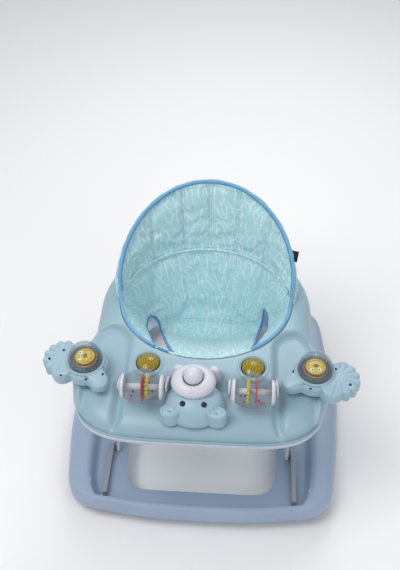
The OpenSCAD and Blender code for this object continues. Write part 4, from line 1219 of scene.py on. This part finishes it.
def reach_of(cx, cy, r, t):
    """How far a circle reaches from the origin in each direction."""
    along = cx * np.cos(t) + cy * np.sin(t)
    inner = r * r - cx * cx - cy * cy + along ** 2
    return np.where(inner > 0, along + np.sqrt(np.maximum(inner, 0)), 0)


t = turns(720)
lobes = [(CROWN[0] + (CROWN_R - 0.001) * math.cos(math.radians(180 + k * 27)),
          (CROWN_R - 0.001) * math.sin(math.radians(180 + k * 27)), 0.0085)
         for k in range(-3, 4)]
tail = [(0.040 * q, -0.031 * q, 0.026 - 0.007 * q) for q in np.linspace(0, 1, 12)]
outline_r = np.max([reach_of(*c, t)
                    for c in lobes + tail + [(*CROWN, CROWN_R), (-0.040, -0.030, 0.022), (0, 0, 0.044)]], 0)
kernel = np.array([1, 4, 6, 4, 1]) / 16
for _ in range(3):
    outline_r = np.convolve(np.concatenate([outline_r[-2:], outline_r, outline_r[:2]]), kernel, "valid")
is_tail = smooth((np.cos(t + 0.66) - 0.80) / 0.12)
creases = [180 + k * 27 for k in (-3.5, -2.5, -1.5, -0.5, 0.5, 1.5, 2.5, 3.5)]


def arm_height(x, y, edge_share):
    """The top surface: a dome that falls to the edge, with creases that run out from the crown's middle."""
    z = 0.0295 - 0.0055 * edge_share ** 3
    dx, dy = x - CROWN[0], y - CROWN[1]
    far, way = np.hypot(dx, dy), np.degrees(np.arctan2(dy, dx)) % 360
    for crease in creases:
        off = (way - crease + 180) % 360 - 180
        depth = np.exp(-((off * far / 0.0016 * math.pi / 180) ** 2)) * smooth((far - 0.010) / 0.014)
        z = z - 0.0026 * depth * (np.abs(off) < 60)
    return z


loops = []
flat_under = [(0.0065, 0.0), (0.030, 0.0)]
for r, z in flat_under:
    loops.append(np.stack([r * np.cos(t), r * np.sin(t), np.full(720, z)], -1))
for inset, z in ((0.0016, 0.0), (0.0004, 0.0006), (0.0, 0.0018), (0.0, 0.010)):
    loops.append(np.stack([(outline_r - inset) * np.cos(t), (outline_r - inset) * np.sin(t), np.full(720, z)], -1))
top_low = 0.0205 - 0.005 * is_tail
for u in np.linspace(0, 1, 9):
    inset, lift = 0.0050 * (1 - math.cos(u * math.pi / 2)), math.sin(u * math.pi / 2)
    r = outline_r - inset
    x, y = r * np.cos(t), r * np.sin(t)
    full = arm_height(x, y, 1 - inset / 0.030) - 0.0055 * is_tail
    loops.append(np.stack([x, y, top_low + (full - top_low) * lift], -1))
inner_r = 0.0405
for share in np.linspace(0.0, 1, 15)[1:]:
    r = (outline_r - 0.0050) * (1 - share) + inner_r * share
    x, y = r * np.cos(t), r * np.sin(t)
    loops.append(np.stack([x, y, arm_height(x, y, (1 - share) * 0.83) - 0.0055 * is_tail * (1 - share)], -1))
for r, z in ((0.0398, 0.0312), (0.0388, 0.0328), (0.0372, 0.0330), (0.0360, 0.0322), (0.0354, 0.0300)):
    loops.append(np.stack([r * np.cos(t), r * np.sin(t), np.full(720, z)], -1))
bowl_r = BALL_R + 0.00035
for u in np.linspace(-0.20, -1.40, 16):
    loops.append(np.stack([bowl_r * math.cos(u) * np.cos(t), bowl_r * math.cos(u) * np.sin(t),
                           np.full(720, BALL_Z - ARM_LOW + bowl_r * math.sin(u))], -1))
arm_screws = {"left": [(-0.049, 0.023), (-0.075, 0.001), (-0.044, -0.038), (0.006, -0.0415), (0.039, -0.031)],
              "right": [(0.041, 0.006), (0.068, -0.030), (-0.043, -0.004), (-0.010, -0.0405)]}


def arm_place(s):
    mirrored = Matrix.Scale(-1, 4, (1, 0, 0)) if s > 0 else Matrix.Identity(4)
    return Matrix.Translation((s * BALL_X, BALL_Y, ARM_LOW)) @ Matrix.Rotation(ARM_TURN, 4, "Z") @ mirrored


# %% Screws
# A screw head is a low dome with a cross slot, in a recess; the head and the recess around it are black, as painted
# shade. Geometry Nodes put one on every point.
SCREWS, given, out = node_group("Screws", [("Screw", "Object"), ("Scale", "Float")])
shape = feed(SCREWS, add(SCREWS, "GeometryNodeObjectInfo"), Object=given["Screw"])
spin = feed(SCREWS, add(SCREWS, "FunctionNodeRandomValue", data_type="FLOAT_VECTOR"), i0=(0, 0, 0), i1=(0, 0, 3.14))
spread = feed(SCREWS, add(SCREWS, "GeometryNodeInstanceOnPoints"), Points=given["Geometry"],
              Instance=shape.outputs["Geometry"],
              Rotation=spin.outputs[0],
              Scale=feed(SCREWS, add(SCREWS, "ShaderNodeCombineXYZ"), X=given["Scale"], Y=given["Scale"],
                                                   Z=given["Scale"]).outputs[0])
real = feed(SCREWS, add(SCREWS, "GeometryNodeRealizeInstances"), Geometry=spread.outputs[0])
SCREWS.links.new(real.outputs[0], out["Geometry"])
# Most of the head and its recess take the black material, as painted shade where the screw hole falls dark; one ring of
# the head is steel.
screw_head = lathe("screw head",
                   [(0.0002, -0.0010), (0.0036, -0.0010), (0.0036, 0.0002), (0.0029, 0.0003), (0.0027, -0.0004),
                    (0.0023, 0.0002),
                                  (0.0012, 0.0006), (0.0002, 0.0007)], ["eye_black", "screw_steel"], 28, ring=False,
                                  pick=[0, 0, 0, 0, 1])
slots = []
# The slot cutters carry the same black, as painted shade in the slots.
for w, l in ((0.0003, 0.0016), (0.0016, 0.0003)):
    corners = [(sx * w, sy * l, z) for z in (0.0, 0.002) for sx, sy in ((-1, -1), (1, -1), (1, 1), (-1, 1))]
    slots.append(build("slot", corners, loft_faces(2, 4, False), "eye_black"))
cut(screw_head, slots)


def screws(name, spots, body, scale=0.8):
    source = bpy.data.objects.new("points", bpy.data.meshes.new("points"))
    source.data.from_pydata([tuple(p) for p in spots], [], [])
    bpy.context.collection.objects.link(source)
    piece = run_nodes(name, source, SCREWS, Screw=screw_head, Scale=scale)
    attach(piece, body)
    return piece


for side, s in SIDES.items():
    shell = place(loft("arm shell " + side, loops, "toy_blue", ring=True), arm_place(s))
    ride(shell, "arm_" + side, ["arm_shell_" + side])
    spots = []
    for x, y in arm_screws[side]:
        hit, spot, _, _ = shell.ray_cast(Vector((s * BALL_X + x, BALL_Y + y, 0.6)), Vector((0, 0, -1)))
        if hit:
            spots.append(spot + Vector((0, 0, 0.0003)))
    screws("arm screws " + side, spots, "arm_" + side)
print("arm faces:", len(shell.data.polygons))

# %% Clear balls and faces
for side, s in SIDES.items():
    here = Matrix.Translation((s * BALL_X, BALL_Y, BALL_Z))
    arc = [(BALL_R * math.sin(u), BALL_R * math.cos(u)) for u in np.linspace(0.004, math.pi - 0.004, 60)]
    thick = [(0.95 * p, 0.95 * q) for p, q in arc[::-1]]
    globe = place(lathe("globe " + side, arc + thick, "clear_plastic", 128), here)
    ride(globe, "arm_" + side, ["arm_ball_" + side])
    low = -BALL_R + 0.0026
    bowl = rounded([(0.0002, low), (0.003, low), (0.003, -0.014), (0.018, -0.011), (0.0252, -0.0025),
                    (0.0248, 0.0015), (0.0002, 0.0015)], 0.0015, 5)
    scallop = []
    for p, z in bowl:
        ring_t = turns(96)
        q = p * (1 - 0.02 * (p > 0.012) * (0.5 - 0.5 * np.cos(16 * ring_t)))
        scallop.append(np.stack([q * np.cos(ring_t), q * np.sin(ring_t), np.full(96, z)], -1))
    cup = place(loft("face bowl " + side, scallop, "face_orange", ring=True), here)
    ride(cup, "face_" + side, ["face_base_" + side])
    faces_parts = [lathe("rim", rounded([(0.0205, 0), (0.0232, 0), (0.0232, 0.0026), (0.0220, 0.0034),
                                         (0.0205, 0.0030)], 0.0006, 4), "rim_brown", 96),
                   lathe("dial", [(0.0002, 0), (0.0206, 0), (0.0206, 0.0026), (0.0165, 0.0036), (0.0090, 0.0044),
                                  (0.0002, 0.0046)], "disc_yellow", 96, ring=False)]
    def spot_on(x, y, a, b, lift, material, low_by=0.0008):
        z = 0.0046 - 0.0022 * (math.hypot(x, y) / 0.0186) ** 2
        return place(domed("spot", 0, 0, a, b, -low_by, lift, material, 2.2, 40, 9), Matrix.Translation((x, y, z)))
    for e in (-1, 1):
        faces_parts += [spot_on(e * 0.0072, 0.0088, 0.0046, 0.0048, 0.0012, "eye_white"),
                        spot_on(e * 0.0066, 0.0094, 0.0021, 0.0026, 0.0018, "eye_black")]
        mark_t = np.radians(np.linspace(-38, 28, 16))
        mark = np.stack([e * 0.0148 * np.cos(mark_t), -0.0040 + 0.0120 * np.sin(mark_t), np.full(16, 0.0036)], -1)
        faces_parts.append(tube("mark", mark, 0.0010, "face_orange", 8))
    faces_parts.append(spot_on(0, -0.0010, 0.0060, 0.0044, 0.0018, "nose_grey"))
    smile_t = np.radians(np.linspace(228, 312, 24))
    smile_at = np.stack([0.0150 * np.cos(smile_t), 0.0006 + 0.0150 * np.sin(smile_t), np.full(24, 0.0036)], -1)
    faces_parts.append(tube("smile", smile_at, 0.0011, "face_orange", 8))
    spun = math.radians(90) if s < 0 else math.radians(180)
    dial = place(joined("face disc " + side, faces_parts),
                 Matrix.Translation((s * BALL_X, BALL_Y, BALL_Z + 0.002)) @ Matrix.Rotation(spun, 4, "Z"))
    ride(dial, "face_" + side, ["face_disc_" + side])
print("faces built")

# %% [markdown]
# ## Wheels
# Each wheel has a grooved tread and a spoked hub.

# %% Wheels
wheel_line = [(0.00305, 0.0005), (0.0050, 0.0), (0.0066, 0.0), (0.0070, 0.0006), (0.0072, 0.0020), (0.0110, 0.0020),
              (0.0117, 0.0012), (0.0123, 0.0003),
              (0.0133, 0.0), (0.0150, 0.0), (0.0162, 0.0008), (0.0168, 0.0018), (0.0170, 0.0030), (0.0170, 0.0048),
              (0.0165, 0.0052), (0.0165, 0.0058),
              (0.0170, 0.0062)]
wheel_line = wheel_line + [(p, WHEEL_W - q) for p, q in wheel_line[::-1]]
picks = [0 if p < 0.0120 else 1 for p, _ in wheel_line]
wheel_t = turns(120)
for name in ("front_left", "front_right", "side_left", "side_right", "rear_left", "rear_right"):
    low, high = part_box("wheel_" + name)
    centre = (low + high) / 2
    rings_w = []
    for p, q in wheel_line:
        spoke = 0.0016 * smooth((np.cos(6 * wheel_t) - 0.2) / 0.4) if 0.0071 < p < 0.0118 else 0 * wheel_t
        depth = q - spoke if q < WHEEL_W / 2 else q + spoke
        depth = np.clip(depth, 0.0, WHEEL_W)
        rings_w.append(np.stack([centre.x - WHEEL_W / 2 + depth, centre.y + p * np.cos(wheel_t),
                                 WHEEL_R + p * np.sin(wheel_t)], -1))
    wheel = loft("wheel " + name, rings_w, ["hub_white", "wheel_rubber"], ring=True, pick=picks)
    ride(wheel, "roller_" + name, ["wheel_" + name])
print("wheels built")

# %% [markdown]
# ## Nodes carried over
# The rest keep their CAD shape and take a material with real surface detail.

# %% Materials for the carried-over nodes
CARRIED = {"frame_metal": ["leg_inner_tube", "leg_outer_tubes"],
           "pin_steel": ["base_pivot_pins", "cross_pins", "tray_pivot_pins", "rattle_axles"],
           "rail_plastic": ["base_rails", "tray_rails", "height_rack", "leg_inner_sliders", "leg_outer_sliders"],
           "pad_rubber": ["brake_pads"], "toy_white": ["release_handle", "seat_clips"],
           "base_blue": ["caster_sockets"], "toy_blue": ["arm_posts"],
           "shell_white": [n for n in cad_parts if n.startswith("fork_")]}
for key_name, nodes in CARRIED.items():
    for node in nodes:
        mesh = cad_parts[node].data
        mesh.materials.clear()
        mesh.materials.append(M[key_name])
shown = [n for n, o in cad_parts.items() if not o.hide_render]
print("carried over:", len(shown), [n for n in shown if n not in sum(CARRIED.values(), [])])

# %% The woven tag
low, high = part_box("seat_tag")
u, v = np.meshgrid(np.linspace(0, 1, 13), np.linspace(0, 1, 25), indexing="ij")
curl = 0.0016 * np.sin(v * 4.2 + u * 1.4)
tag_y = (low.y + high.y) / 2 + curl
tag_x, tag_z = low.x + (high.x - low.x) * u + 0.002 * v, low.z + (high.z - low.z) * v - 0.004 * u
layers = [np.stack([tag_x, tag_y + dy, tag_z], -1) for dy in (-0.0004, 0.0004)]
sheet_points = np.concatenate([layers[0].reshape(-1, 3), layers[1].reshape(-1, 3)])
quads = []
n, m = u.shape
for i in range(n - 1):
    for j in range(m - 1):
        q = [i * m + j, (i + 1) * m + j, (i + 1) * m + j + 1, i * m + j + 1]
        quads += [q, [k + n * m for k in q][::-1]]
border = [(i, 0) for i in range(n)] + [(n - 1, j) for j in range(1, m)]
border += [(i, m - 1) for i in range(n - 2, -1, -1)] + [(0, j) for j in range(m - 2, 0, -1)]
for (i, j), (k, l) in zip(border, border[1:] + border[:1]):
    p, q = i * m + j, k * m + l
    quads.append([p, q, q + n * m, p + n * m])
flat = np.stack([u.ravel() * 0.016, v.ravel() * 0.036], -1)
tag = build("seat tag", sheet_points, quads, "tag_black", flat=np.vstack([flat, flat]))
ride(tag, "tray", ["seat_tag"])

# %% [markdown]
# ## Finish
# The screw shape that the Screws nodes copied is removed.

# %% Clean up
bpy.data.objects.remove(screw_head)
bpy.context.view_layer.update()
